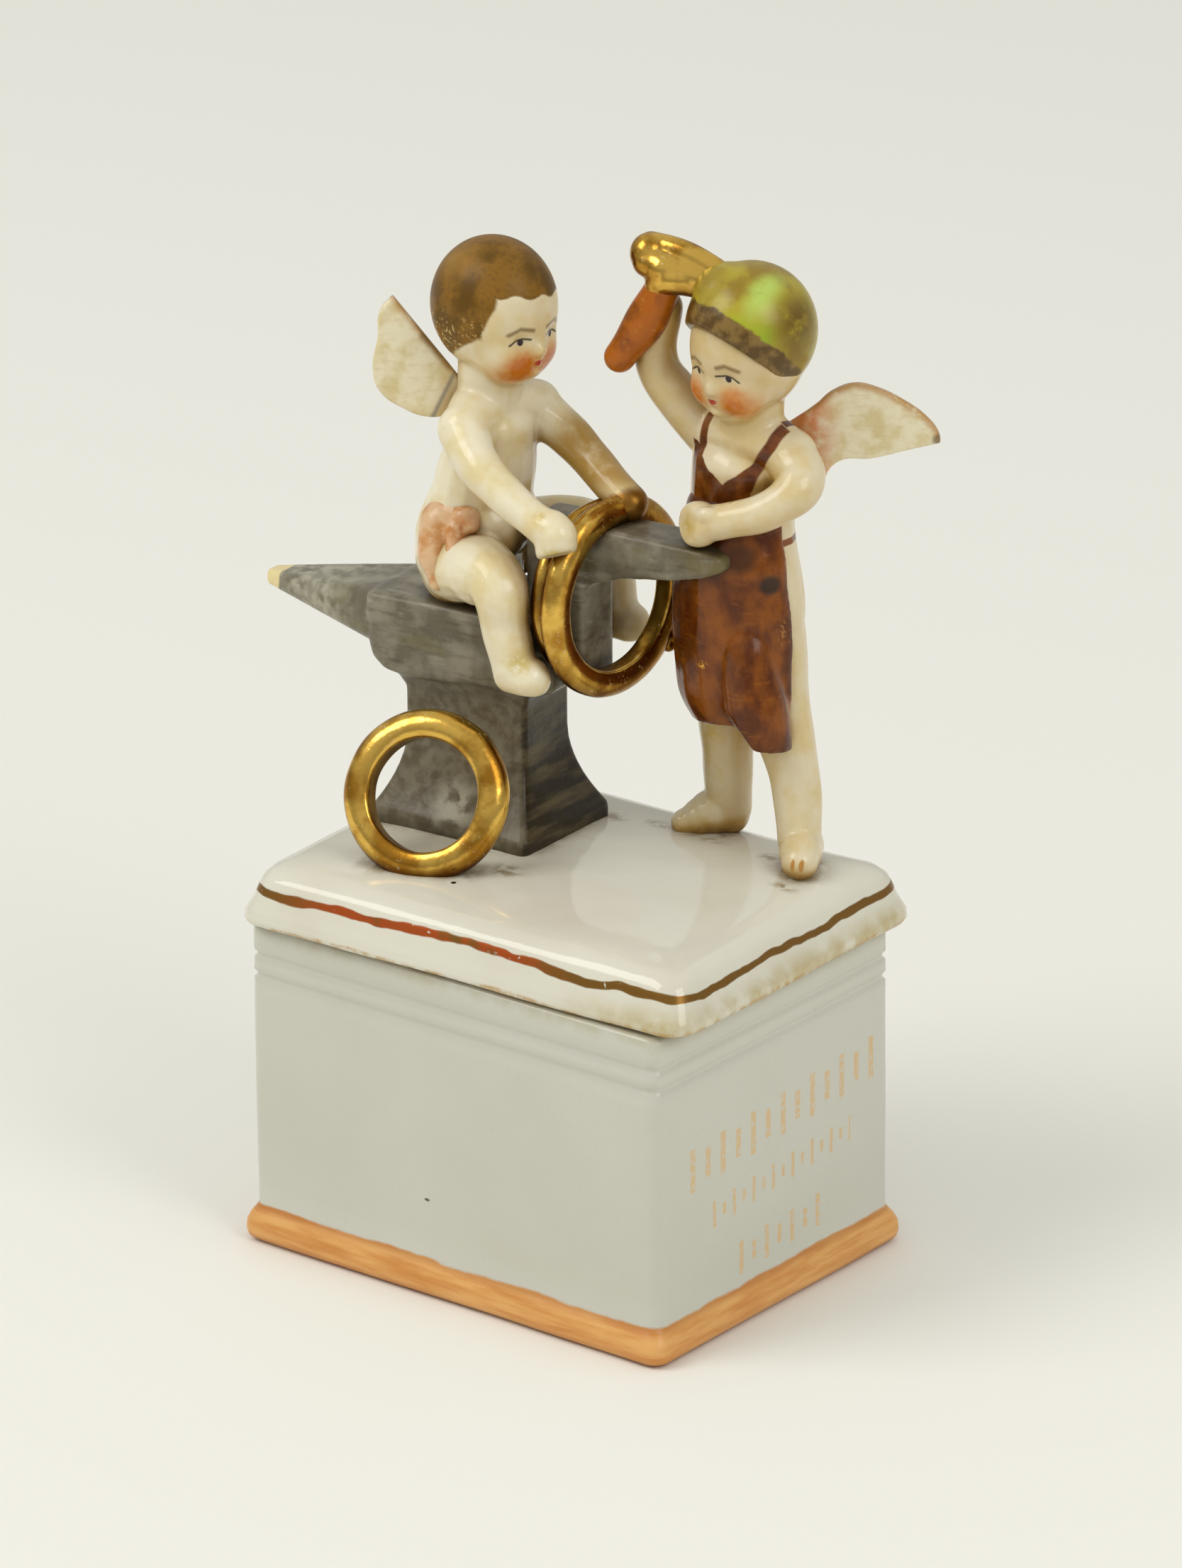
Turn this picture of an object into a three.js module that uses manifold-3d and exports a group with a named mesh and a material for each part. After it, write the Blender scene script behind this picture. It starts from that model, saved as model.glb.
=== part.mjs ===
// Porcelain trinket box with a lid that lifts off. Two winged putti work at an anvil on the lid:
// one sits astride it and holds two gilt rings, the other stands behind its heel with a hammer.
// The box is one piece. The lid, the anvil, the rings and both putti were luted together before
// firing, so they are one piece too.
//
// Millimetres, +Z up. The origin is the middle of the underside and X runs along the long sides.
// The seated putto looks towards +X, the standing one over the long side that faces -Y.

import * as THREE from 'three';
import { mergeVertices } from 'three/addons/utils/BufferGeometryUtils.js';
import Module from 'manifold-3d';

const wasm = await Module();
wasm.setup();

// Driving dimensions of the box
const BODY_LENGTH = 61;
const BODY_WIDTH = 46;
const BODY_HEIGHT = 41;
const WALL = 3.5;
const FLOOR = 3.2;
const CORNER_RADIUS = 1.8;
const BAND_HEIGHT = 4.7;
const BAND_SWELL = 1.2;
const GROOVE_DEPTH = 0.3;
const GROOVE_WIDTH = 1.1;
const GROOVES_BELOW_RIM = [4.0, 6.6];

// Driving dimensions of the lid, which sits a little turned and a little off the middle
const LID_LENGTH = 65.3;
const LID_WIDTH = 48.2;
const LID_GAP = 0.35;
const LID_RIM = 1.3;
const LID_TOP = 49;
const LID_TURN = 1.8;
const LID_SHIFT = [0.5, 0.4];
const FLANGE_LENGTH = 50;
const FLANGE_WIDTH = 35;
const FLANGE_DEPTH = 2.6;
const FLANGE_WALL = 2.4;
const LID_HOLLOW_TOP = 44.8;

// Driving dimensions of the anvil, whose upper half is turned further than its foot
const FOOT_CENTRE = [-16, 5.1];
const FOOT_SIZE = [23, 17.6];
const FOOT_TURN = 2;
const ANVIL_CENTRE = [-17, 6];
const ANVIL_TURN = 7;
const NECK_SIZE = [16.6, 10.4];
const FOOT_EDGE = 50.6;
const FLARE_CURVE = 1.95;
const NECK_BOTTOM = 60.4;
const BLOCK_LEFT = -12.4;
const BLOCK_RIGHT = 13.2;
const BLOCK_DEPTH = 15.2;
const BLOCK_BOTTOM = 67.9;
const SEAT_HEIGHT = 77.25;
const HORN_TIP = [-30.2, 73.7];
const HEEL_TOP = 88.9;
const HEEL_END = 33.8;
const HEEL_WIDTH = 6.8;
const HEEL_THICKNESS = 4.6;
const POST_LEFT = 7.6;
const POST_RIGHT = 15.6;
const POST_WIDTH = 7.4;

// Driving dimensions of the rings: the radius of the inner wall, the thickness and the width
const FRONT_RING = [8.9, 3.3, 3.1];
const BACK_RING = [9.1, 2.5, 2.7];
const SMALL_RING = [6.6, 3.6, 3.9];
const RING_FULLNESS = 0.62;

// Driving dimensions of the putti and their clothes
const SEATED_HEAD = [-15, 5.6, 113.5];
const SEATED_TURN = -7;
const SOLE_HEIGHT = 70.3;
const STANDING_HEAD = [15.1, 15.2, 112];
const STANDING_TURN = -97;
const APRON_HEM = 65.3;
const CAP_EDGE = [17.8, 10.9, 112.2];
const CAP_AXIS = [0.2, 0.63, 0.751];
const WING_THICKNESS = 1.3;
const SEATED_WING = [
  [-1.6, 0.8], [2.7, 0.2], [5.8, 1.4], [8.5, 3.6], [9.2, 6.2], [8.6, 10], [8.2, 13.6], [6.7, 15.3],
  [0, 6.4], [-1.6, 4.2],
];
const STANDING_WING = [
  [-1.6, -4.4], [1.9, -4.9], [2.8, -3.6], [3.7, -1.6], [5.2, -0.6], [8.2, -0.45], [12.4, 0.6], [16.5, 1.6],
  [16.3, 2.8], [14.8, 4.8], [11.9, 6.9], [9, 8.3], [6.5, 8.8], [3.8, 7.8], [1.9, 6.1], [-1.6, 3.6],
];

// Facets
const SIDES = 8;
const RING_STEPS = 24;
const RING_FACETS = 5;

const up = new THREE.Vector3(0, 0, 1);

// A closed mesh with merged vertices becomes a solid that can be joined and cut.
function solid(geometry) {
  const plain = geometry.clone();
  plain.deleteAttribute('normal');
  plain.deleteAttribute('uv');
  const merged = mergeVertices(plain, 1e-4);
  const corners = merged.index.array;
  const kept = [];
  for (let i = 0; i < corners.length; i += 3) {
    const [a, b, c] = corners.subarray(i, i + 3);
    if (a !== b && b !== c && c !== a) kept.push(a, b, c);
  }
  return new wasm.Manifold(new wasm.Mesh({
    numProp: 3,
    vertProperties: new Float32Array(merged.attributes.position.array),
    triVerts: new Uint32Array(kept),
  }));
}

function join(pieces) {
  return pieces.reduce((whole, piece) => whole.add(piece));
}

// A closed skin over a stack of rings with equal counts of points, fanned shut at both ends.
function loft(rings) {
  const count = rings[0].length;
  const points = rings.flat();
  const index = [];
  for (let k = 0; k < rings.length - 1; k += 1) {
    for (let i = 0; i < count; i += 1) {
      const a = k * count + i;
      const b = k * count + ((i + 1) % count);
      index.push(a, b, b + count, a, b + count, a + count);
    }
  }
  const first = points.length;
  const last = first + 1;
  const start = points.length - count;
  for (let i = 0; i < count; i += 1) {
    const j = (i + 1) % count;
    index.push(first, j, i, last, start + i, start + j);
  }
  for (const ring of [rings[0], rings[rings.length - 1]]) {
    const middle = ring.reduce((sum, p) => sum.add(p), new THREE.Vector3());
    points.push(middle.multiplyScalar(1 / count));
  }
  const geometry = new THREE.BufferGeometry().setFromPoints(points);
  geometry.setIndex(index);
  return geometry;
}

// A rectangle with round corners at one height, as a ring of points.
function roundedRectangle(length, width, radius, height) {
  const cornerSteps = 3;
  const ring = [];
  for (let corner = 0; corner < 4; corner += 1) {
    const sx = corner === 0 || corner === 3 ? 1 : -1;
    const sy = corner < 2 ? 1 : -1;
    for (let step = 0; step <= cornerSteps; step += 1) {
      const angle = (Math.PI / 2) * (corner + step / cornerSteps);
      ring.push(new THREE.Vector3(
        sx * (length / 2 - radius) + radius * Math.cos(angle),
        sy * (width / 2 - radius) + radius * Math.sin(angle),
        height,
      ));
    }
  }
  return ring;
}

// A stack of rounded rectangles, given as [length, width, radius, height] from the bottom up.
function prism(levels) {
  return loft(levels.map((level) => roundedRectangle(...level)));
}

// A round limb through its joints, with a radius at each, rounded at both ends.
// wide stretches the section along the direction side.
function limb(joints, radii, wide = 1, side = [0, 1, 0], stepsPerJoint = joints.length > 4 ? 1 : 2) {
  const curve = new THREE.CatmullRomCurve3(joints.map((joint) => new THREE.Vector3(...joint)));
  const reference = new THREE.Vector3(...side);
  const last = joints.length - 1;
  const steps = last * stepsPerJoint;
  const rings = [];
  const ringAt = (t, grow, push) => {
    const tangent = curve.getTangent(t);
    const k = Math.min(Math.floor(t * last), last - 1);
    const ease = THREE.MathUtils.smoothstep(t * last - k, 0, 1);
    const radius = radii[k] + (radii[k + 1] - radii[k]) * ease;
    const across = reference.clone().addScaledVector(tangent, -reference.dot(tangent)).normalize();
    const other = tangent.clone().cross(across);
    const middle = curve.getPoint(t).addScaledVector(tangent, push * radius);
    const ring = [];
    for (let i = 0; i < SIDES; i += 1) {
      const angle = (2 * Math.PI * i) / SIDES;
      ring.push(middle.clone()
        .addScaledVector(across, wide * grow * radius * Math.cos(angle))
        .addScaledVector(other, grow * radius * Math.sin(angle)));
    }
    return ring;
  };
  for (const angle of [75, 38]) {
    const turn = THREE.MathUtils.degToRad(angle);
    rings.push(ringAt(0, Math.cos(turn), -Math.sin(turn)));
  }
  for (let step = 0; step <= steps; step += 1) rings.push(ringAt(step / steps, 1, 0));
  for (const angle of [38, 75]) {
    const turn = THREE.MathUtils.degToRad(angle);
    rings.push(ringAt(1, Math.cos(turn), Math.sin(turn)));
  }
  return solid(loft(rings));
}

// An egg-shaped mass with three radii, turned about Z and then leant about the turned X.
function mass(centre, radii, turn = 0, lean = 0, facets = 12) {
  const geometry = new THREE.SphereGeometry(1, facets, Math.round(facets * 0.66));
  geometry.rotateX(Math.PI / 2);
  geometry.scale(...radii);
  geometry.rotateX(THREE.MathUtils.degToRad(lean));
  geometry.rotateZ(THREE.MathUtils.degToRad(turn));
  geometry.translate(...centre);
  return solid(geometry);
}

// A ring with a flat inner wall and a domed outside, about an axis.
function ring(centre, axis, inside, thick, along) {
  const reach = RING_FULLNESS * thick;
  const middle = inside + thick - reach;
  const edge = Math.acos((inside - middle) / reach);
  const section = [];
  for (let i = 0; i <= RING_FACETS; i += 1) {
    const angle = edge * ((2 * i) / RING_FACETS - 1);
    section.push(new THREE.Vector2(middle + reach * Math.cos(angle), (along / 2) * Math.sin(angle)));
  }
  section.push(section[0].clone());
  const geometry = new THREE.LatheGeometry(section, RING_STEPS);
  const turn = new THREE.Quaternion().setFromUnitVectors(
    new THREE.Vector3(0, 1, 0),
    new THREE.Vector3(...axis).normalize(),
  );
  geometry.applyQuaternion(turn);
  geometry.translate(...centre);
  return solid(geometry);
}

// A piece without what lies beyond a plane through a point, on the side the normal points to.
function cut(piece, point, normal) {
  const inward = new THREE.Vector3(...normal).normalize().negate();
  return piece.trimByPlane(inward.toArray(), inward.dot(new THREE.Vector3(...point)));
}

// A point given from a centre along the way a head faces.
function facing(centre, turn, forward, lift) {
  const angle = THREE.MathUtils.degToRad(turn);
  return [
    centre[0] + forward * Math.cos(angle), centre[1] + forward * Math.sin(angle), centre[2] + lift];
}

// A head: skull, jaw with full cheeks, and a button nose.
function head(centre, turn, skull, jaw, jawRadii, nose) {
  return [
    mass(centre, skull, turn),
    mass(facing(centre, turn, ...jaw), jawRadii, turn, 0, 10),
    mass(facing(centre, turn, ...nose), [1, 0.9, 1], turn, 0, 7),
  ];
}

// A thin wing cut from an outline: its plane holds the direction out and the vertical.
function wing(root, out, outline) {
  const shape = new THREE.Shape(outline.map((point) => new THREE.Vector2(...point)));
  const bevel = 0.35;
  const geometry = new THREE.ExtrudeGeometry(shape, {
    depth: WING_THICKNESS - 2 * bevel,
    bevelEnabled: true,
    bevelThickness: bevel,
    bevelSize: bevel,
    bevelOffset: -bevel,
    bevelSegments: 1,
  });
  geometry.translate(0, 0, bevel - WING_THICKNESS / 2);
  const along = new THREE.Vector3(...out).normalize();
  const frame = new THREE.Matrix4().makeBasis(along, up, along.clone().cross(up));
  geometry.applyMatrix4(frame);
  geometry.translate(...root);
  return solid(geometry);
}

// Box: foot band that swells at its foot, plain walls and two grooves under the rim
function boxSolid() {
  const wallAt = (height, inset) => [
    BODY_LENGTH - 2 * inset, BODY_WIDTH - 2 * inset, CORNER_RADIUS - inset, height];
  const swell = (height, out) => wallAt(height, -out);
  const levels = [
    swell(0, 0.2), swell(0.6, BAND_SWELL * 0.8), swell(1.6, BAND_SWELL), swell(3, BAND_SWELL * 0.8),
    swell(BAND_HEIGHT - 0.5, 0.35), wallAt(BAND_HEIGHT, 0),
  ];
  for (const below of [...GROOVES_BELOW_RIM].reverse()) {
    const middle = BODY_HEIGHT - below;
    levels.push(wallAt(middle - GROOVE_WIDTH / 2, 0));
    levels.push(wallAt(middle, GROOVE_DEPTH));
    levels.push(wallAt(middle + GROOVE_WIDTH / 2, 0));
  }
  levels.push(wallAt(BODY_HEIGHT - 0.4, 0), wallAt(BODY_HEIGHT, 0.4));
  const inside = [
    [BODY_LENGTH - 2 * WALL - 2, BODY_WIDTH - 2 * WALL - 2, 1, FLOOR],
    [BODY_LENGTH - 2 * WALL, BODY_WIDTH - 2 * WALL, 1.5, FLOOR + 1],
    [BODY_LENGTH - 2 * WALL, BODY_WIDTH - 2 * WALL, 1.5, BODY_HEIGHT + 1],
  ];
  return solid(prism(levels)).subtract(solid(prism(inside)));
}

// Lid: rim, shoulder and a pillow top, hollow below inside a locating flange
function lidSolid() {
  const under = BODY_HEIGHT + LID_GAP;
  const at = (inset, radius, height) => [
    LID_LENGTH - 2 * inset, LID_WIDTH - 2 * inset, radius, height];
  const outside = solid(prism([
    at(0.7, 2, under), at(0, 2.4, under + 0.6), at(0, 2.4, under + LID_RIM),
    at(0.5, 2.4, under + LID_RIM + 1.2), at(1.3, 2.8, LID_TOP - 3), at(1.8, 3.2, LID_TOP - 1.9),
    at(2.8, 4.4, LID_TOP - 1.1), at(4.8, 6, LID_TOP - 0.5), at(9, 7, LID_TOP - 0.1), at(14, 8, LID_TOP),
  ]));
  const foot = under - FLANGE_DEPTH;
  const flange = solid(prism([
    [FLANGE_LENGTH - 0.8, FLANGE_WIDTH - 0.8, 1.5, foot],
    [FLANGE_LENGTH, FLANGE_WIDTH, 2, foot + 0.5],
    [FLANGE_LENGTH, FLANGE_WIDTH, 2, under + 0.5],
  ]));
  const hollow = solid(prism([
    [FLANGE_LENGTH - 2 * FLANGE_WALL, FLANGE_WIDTH - 2 * FLANGE_WALL, 2, under - FLANGE_DEPTH - 1],
    [FLANGE_LENGTH - 2 * FLANGE_WALL, FLANGE_WIDTH - 2 * FLANGE_WALL, 2, LID_HOLLOW_TOP - 0.8],
    [FLANGE_LENGTH - 2 * FLANGE_WALL - 2, FLANGE_WIDTH - 2 * FLANGE_WALL - 2, 1.5, LID_HOLLOW_TOP],
  ]));
  const lid = outside.add(flange).subtract(hollow);
  return lid.rotate([0, 0, LID_TURN]).translate([...LID_SHIFT, 0]);
}

// Anvil: a flared foot, a neck, the block with its horn, and a post that carries the heel
function anvilSolid() {
  const stack = [];
  const footLevel = (spread, turn, height) => {
    const size = NECK_SIZE.map((neck, k) => neck + (FOOT_SIZE[k] - neck) * spread);
    const place = ANVIL_CENTRE.map((middle, k) => middle + (FOOT_CENTRE[k] - middle) * spread);
    const angle = THREE.MathUtils.degToRad(turn);
    const outline = roundedRectangle(...size, 1, height);
    stack.push(outline.map((p) => p.applyAxisAngle(up, angle).add(new THREE.Vector3(...place, 0))));
  };
  footLevel(1, FOOT_TURN, LID_TOP - 2.2);
  const flareSteps = 6;
  for (let step = 0; step <= flareSteps; step += 1) {
    const t = step / flareSteps;
    const height = FOOT_EDGE + (NECK_BOTTOM - FOOT_EDGE) * t;
    footLevel((1 - t) ** FLARE_CURVE, FOOT_TURN + (ANVIL_TURN - FOOT_TURN) * t, height);
  }
  footLevel(0, ANVIL_TURN, BLOCK_BOTTOM - 2.4);
  footLevel(0.3, ANVIL_TURN, BLOCK_BOTTOM + 0.6);
  const foot = solid(loft(stack));

  const side = new THREE.Shape();
  side.moveTo(BLOCK_LEFT + 4.6, BLOCK_BOTTOM - 1);
  side.lineTo(BLOCK_RIGHT, BLOCK_BOTTOM + 0.6);
  side.lineTo(BLOCK_RIGHT, SEAT_HEIGHT);
  side.lineTo(BLOCK_LEFT, SEAT_HEIGHT);
  side.lineTo(BLOCK_LEFT, BLOCK_BOTTOM + 2.6);
  side.quadraticCurveTo(BLOCK_LEFT + 0.2, BLOCK_BOTTOM - 0.4, BLOCK_LEFT + 4.6, BLOCK_BOTTOM - 1);
  const bevel = 0.7;
  const blockGeometry = new THREE.ExtrudeGeometry(side, {
    depth: BLOCK_DEPTH - 2 * bevel,
    bevelEnabled: true,
    bevelThickness: bevel,
    bevelSize: bevel,
    bevelOffset: -bevel,
    bevelSegments: 2,
    curveSegments: 5,
  });
  blockGeometry.rotateX(Math.PI / 2);
  blockGeometry.translate(0, BLOCK_DEPTH / 2 - bevel, 0);
  const block = solid(blockGeometry);

  // The horn narrows from the block's section to a blunt tip.
  const hornRings = [];
  const hornSteps = 5;
  for (let step = 0; step <= hornSteps; step += 1) {
    const t = step / hornSteps;
    const along = BLOCK_LEFT + 1.5 + (HORN_TIP[0] - BLOCK_LEFT - 1.5) * t;
    const height = THREE.MathUtils.lerp(SEAT_HEIGHT - BLOCK_BOTTOM - 1.8, 1.9, t ** 0.9);
    const width = THREE.MathUtils.lerp(BLOCK_DEPTH - 1.2, 2.4, t ** 1.15);
    const top = THREE.MathUtils.lerp(SEAT_HEIGHT - 0.2, HORN_TIP[1] + 1, t);
    const outline = roundedRectangle(height, width, Math.min(height, width) * 0.4, 0);
    hornRings.push(outline.map((p) => new THREE.Vector3(along, p.y, top - height / 2 + p.x)));
  }
  const horn = solid(loft(hornRings));

  const post = solid(prism([
    [POST_RIGHT - POST_LEFT, POST_WIDTH, 0.8, BLOCK_BOTTOM + 1.4],
    [POST_RIGHT - POST_LEFT, POST_WIDTH, 0.8, HEEL_TOP - 0.6],
    [POST_RIGHT - POST_LEFT - 1, POST_WIDTH - 1, 0.6, HEEL_TOP],
  ])).translate([(POST_LEFT + POST_RIGHT) / 2, 0, 0]);

  const profile = new THREE.Shape();
  profile.moveTo(POST_RIGHT - 2, HEEL_TOP - 9);
  profile.lineTo(POST_RIGHT - 0.4, HEEL_TOP - 8);
  profile.quadraticCurveTo(
    POST_RIGHT + 0.8, HEEL_TOP - HEEL_THICKNESS - 1.6, POST_RIGHT + 5, HEEL_TOP - HEEL_THICKNESS - 1);
  profile.lineTo(HEEL_END - 6, HEEL_TOP - HEEL_THICKNESS);
  profile.quadraticCurveTo(HEEL_END, HEEL_TOP - 3.4, HEEL_END, HEEL_TOP - 1.5);
  profile.quadraticCurveTo(HEEL_END - 0.4, HEEL_TOP - 0.3, HEEL_END - 3, HEEL_TOP);
  profile.lineTo(POST_LEFT + 1, HEEL_TOP);
  profile.lineTo(POST_LEFT + 1, HEEL_TOP - 3);
  const heelBevel = 0.9;
  const heelGeometry = new THREE.ExtrudeGeometry(profile, {
    depth: HEEL_WIDTH - 2 * heelBevel,
    bevelEnabled: true,
    bevelThickness: heelBevel,
    bevelSize: heelBevel * 0.8,
    bevelOffset: -heelBevel * 0.8,
    bevelSegments: 2,
    curveSegments: 4,
  });
  heelGeometry.rotateX(Math.PI / 2);
  heelGeometry.translate(0, HEEL_WIDTH / 2 - heelBevel, 0);
  const heel = solid(heelGeometry);

  const upper = join([block, horn, post, heel])
    .rotate([0, 0, ANVIL_TURN]).translate([...ANVIL_CENTRE, 0]);
  return upper.add(foot);
}

// Rings: two hang on the heel, one behind the other, and a small one stands tilted on the lid
function ringSolids() {
  return [
    ring([0.6, 8, 79.9], [1, -0.06, 0.02], ...FRONT_RING),
    ring([-1, 9.1, 79.5], [1, -0.2, 0.1], ...BACK_RING),
    ring([-13, -10.55, 57.4], [0.33, -0.84, 0.42], ...SMALL_RING),
  ];
}

// Seated putto: astride the block, bent forward a little, both hands on the hanging rings
function seatedPutto() {
  const torso = limb(
    [[-18.6, 5.6, 80.5], [-18.4, 5.6, 84.5], [-16.6, 5.6, 92], [-15.4, 5.7, 98.6], [-15.4, 5.6, 102.2]],
    [5.6, 6.2, 5.3, 4.6, 2.8], 1.3);
  const neck = limb([[-15.8, 5.6, 100], [-15.2, 5.4, 107]], [3.9, 4.1]);
  const shoulders = limb([[-15, -0.4, 99.6], [-15.6, 5.6, 101.2], [-13.4, 11.2, 99.8]], [3.1, 3.8, 3.1]);
  const nearArm = limb(
    [[-14.9, -0.4, 99.4], [-11.4, -2.3, 96.6], [-7.2, -3.0, 94.2], [-3.0, -3.0, 92.0], [0.2, -2.7, 90.2]],
    [3.1, 2.65, 2.4, 2.15, 2.5]);
  const nearHand = limb([[0.4, -2.7, 90.4], [0.5, -2.7, 88.6]], [2.5, 2.5]);
  const farArm = limb(
    [[-13.2, 11.2, 99.1], [-9.8, 12.3, 96.8], [-6, 12.3, 94.2], [-1.2, 10.9, 91.9], [1, 10.6, 90.7]],
    [3.1, 2.65, 2.4, 2.3, 2.3]);
  const nearLeg = limb(
    [[-17.6, 1.4, 81.6], [-12, -1.4, 83.0], [-7.9, -3.1, 82.6], [-6.6, -3.3, 77.5], [-5.5, -3.3, 73.6]],
    [4.4, 4.2, 3.5, 2.95, 2.75]);
  const farLeg = limb(
    [[-18.6, 9.8, 81.6], [-13.6, 15.0, 83.0], [-9.2, 18, 82.4], [-8, 18.4, 77.5], [-7.2, 18.4, 73.4]],
    [4.4, 4.2, 3.4, 2.95, 2.75]);
  const feet = [
    limb([[-5.3, -3.4, 72.8], [-3.2, -3.2, 72.2]], [2.7, 2.6]),
    limb([[-7, 18.4, 72.8], [-5.2, 18.5, 72.2]], [2.7, 2.6]),
  ].map((foot) => cut(foot, [0, 0, SOLE_HEIGHT], [0, 0, -1]));
  const hip = mass([-17.3, 0.9, 88], [3.8, 3.1, 3.1], 8, 0, 9);
  const knot = mass([-14.9, -0.3, 88.5], [2, 1.9, 1.7], 0, 0, 8);
  const drape = limb([[-18.6, -0.4, 87.4], [-18.2, -2.2, 84.2], [-17.2, -2.9, 80.7]], [2.5, 2, 1]);
  return [
    torso, shoulders, neck, nearArm, cut(nearHand, [0.9, -2.9, 88.2], [0.42, -0.2, -0.88]), farArm,
    ...head(SEATED_HEAD, SEATED_TURN, [8, 7.2, 8.25], [3.4, -4.2], [4.8, 5.8, 5.3], [7.8, -4.2]),
    nearLeg, farLeg, ...feet, hip, knot, drape,
    wing([-19.5, 3, 99.2], [-0.75, -0.66, 0], SEATED_WING),
    wing([-19.5, 8.2, 99.2], [-0.6, 0.8, 0], SEATED_WING),
  ];
}

// Apron: a sheet round the belly and thighs, with one pleat that hangs lower
function apronSolid() {
  const across = [1, 0, 0];
  const sheet = limb(
    [[14.6, 14.8, 61.5], [13.9, 14.6, 70.5], [13.8, 14.4, 77], [13.5, 14.4, 85], [13.5, 15.2, 90.6]],
    [3.7, 5.9, 6.15, 5.7, 5], 1.36, across);
  const pleat = limb(
    [[16.6, 12.8, 82], [17.9, 11.4, 75], [19.3, 11.3, 67], [19.6, 11.4, 61]], [1.8, 3.4, 3.9, 4]);
  const hemmed = [
    cut(sheet, [10.5, 12, APRON_HEM + 0.2], [0.16, -0.02, -0.98]),
    cut(cut(pleat, [18.7, 8.3, 67.2], [-0.52, -0.67, -0.53]), [19, 7.5, APRON_HEM], [-0.08, -0.18, -1]),
  ];
  return cut(join(hemmed), [14, 16.6, 70], [0.24, 0.97, 0]);
}

// Hammer: a plump handle and a head with a heavy near end, whose far end sinks into the cap
function hammerSolids() {
  const handle = limb([[5.4, 11.9, 118.4], [3.4, 11.2, 114], [0.3, 9.8, 108.9]], [2.1, 2.55, 1.9]);
  const heavyEnd = mass([3, 12, 121.5], [2.3, 2.3, 2.5], 0, 0, 9);
  const bar = limb(
    [[2.8, 12.6, 122.5], [6.8, 13.2, 122.2], [13.4, 14.6, 119.2]], [1.5, 1.45, 1.4], 1, [0, 1, 0], 1);
  const underBar = limb(
    [[3.4, 11.4, 120.8], [6.6, 12, 120.3], [10.2, 13.4, 119.2]], [2, 1.8, 1.8], 1, [0, 1, 0], 1);
  const socket = limb(
    [[5, 11.3, 118.4], [6.6, 11.5, 119.2], [9.6, 13, 118.6]], [1.75, 1.9, 1.6], 1, [0, 1, 0], 1);
  return [handle, heavyEnd, bar, underBar, socket];
}

// Standing putto: weight on both feet, the left fist on the heel, the right raised with the hammer
function standingPutto() {
  const torso = limb(
    [[14, 17, 72], [13.9, 16.6, 80], [13.5, 16.2, 90], [13.8, 15.8, 97.2], [14.4, 15.4, 101.2]],
    [5, 5.6, 5.1, 5, 3], 1.3, [1, 0, 0]);
  const neck = limb([[14.8, 15.8, 99], [15.2, 15.4, 106]], [3.8, 4]);
  const shoulders = limb([[9, 16.2, 99.8], [14.6, 15.6, 101], [20.4, 16.2, 99.2]], [3.1, 3.8, 3.2]);
  const capMass = mass([15.2, 15.5, 113.8], [7.6, 7.9, 8.1], -14, 14);
  const leftLeg = limb(
    [[16.6, 17, 77], [18.4, 17.4, 65], [20.7, 16.9, 58], [22.4, 15.4, 51.5]],
    [4.3, 3.55, 3, 2.65]);
  const rightLeg = limb(
    [[10, 18.4, 76], [9.2, 18.8, 64], [8.9, 19.2, 58], [8.6, 19.8, 51.5]],
    [4.6, 3.6, 3.05, 2.8]);
  const leftFoot = limb([[22.2, 16.2, 51], [23.7, 13.8, 51], [24.7, 12.3, 50.6]], [2.6, 2.6, 2.25]);
  const rightFoot = limb([[8.6, 20, 50.4], [7.2, 18.6, 50.8], [4.6, 16.3, 49.6]], [2.4, 2.9, 1.7]);
  const leftArm = limb(
    [[20.4, 16.2, 98.8], [23.2, 14.2, 97], [21.8, 10.8, 94.5], [17, 8.6, 92.6], [14.8, 8.2, 91.9]],
    [3.3, 2.95, 2.35, 2.15, 2.2]);
  const fist = cut(
    mass([13.2, 8, 91.5], [2.8, 2.75, 2.75], 0, 0, 10), [12.5, 6.7, 91.65], [-0.42, -0.9, 0.12]);
  const rightArm = limb(
    [[8.9, 16.2, 99.4], [5.2, 14.7, 103.6], [2.8, 13.7, 107.6], [4.4, 12.9, 115]],
    [3.1, 2.85, 2.6, 2.3]);
  const drip = limb([[0.9, 16.2, 73], [2.6, 17.4, 72.4]], [1.3, 1], 1, [0, 0, 1], 1);
  return [
    torso, shoulders, neck, leftLeg, rightLeg, leftFoot, rightFoot, leftArm, fist, rightArm, drip,
    ...head(STANDING_HEAD, STANDING_TURN, [7.1, 6.9, 8], [2.8, -3.9], [4.4, 5.2, 5.5], [6.6, -4.2]),
    cut(capMass, CAP_EDGE, CAP_AXIS.map((value) => -value)), ...hammerSolids(), apronSolid(),
    wing([18, 21, 97.55], [13.5, 9.5, 0], STANDING_WING),
    wing([13.4, 22, 97.55], [-9, 12, 0], STANDING_WING),
  ];
}

function mesh(name, piece, colour, roughness, metalness = 0) {
  const { vertProperties, triVerts } = piece.getMesh();
  const geometry = new THREE.BufferGeometry();
  geometry.setAttribute('position', new THREE.BufferAttribute(vertProperties, 3));
  geometry.setIndex(new THREE.BufferAttribute(triVerts, 1));
  geometry.computeVertexNormals();
  const material = new THREE.MeshStandardMaterial({ color: colour, roughness, metalness });
  const part = new THREE.Mesh(geometry, material);
  part.name = name;
  return part;
}

const figures = join([
  lidSolid(), anvilSolid(), ...ringSolids(), ...seatedPutto(), ...standingPutto(),
]);

const group = new THREE.Group();
group.add(mesh('box', boxSolid(), 0xc7c8bd, 0.25));
group.add(mesh('lid_with_figures', figures, 0xe6e1d4, 0.18));

export default group;
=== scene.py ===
import math

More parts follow.
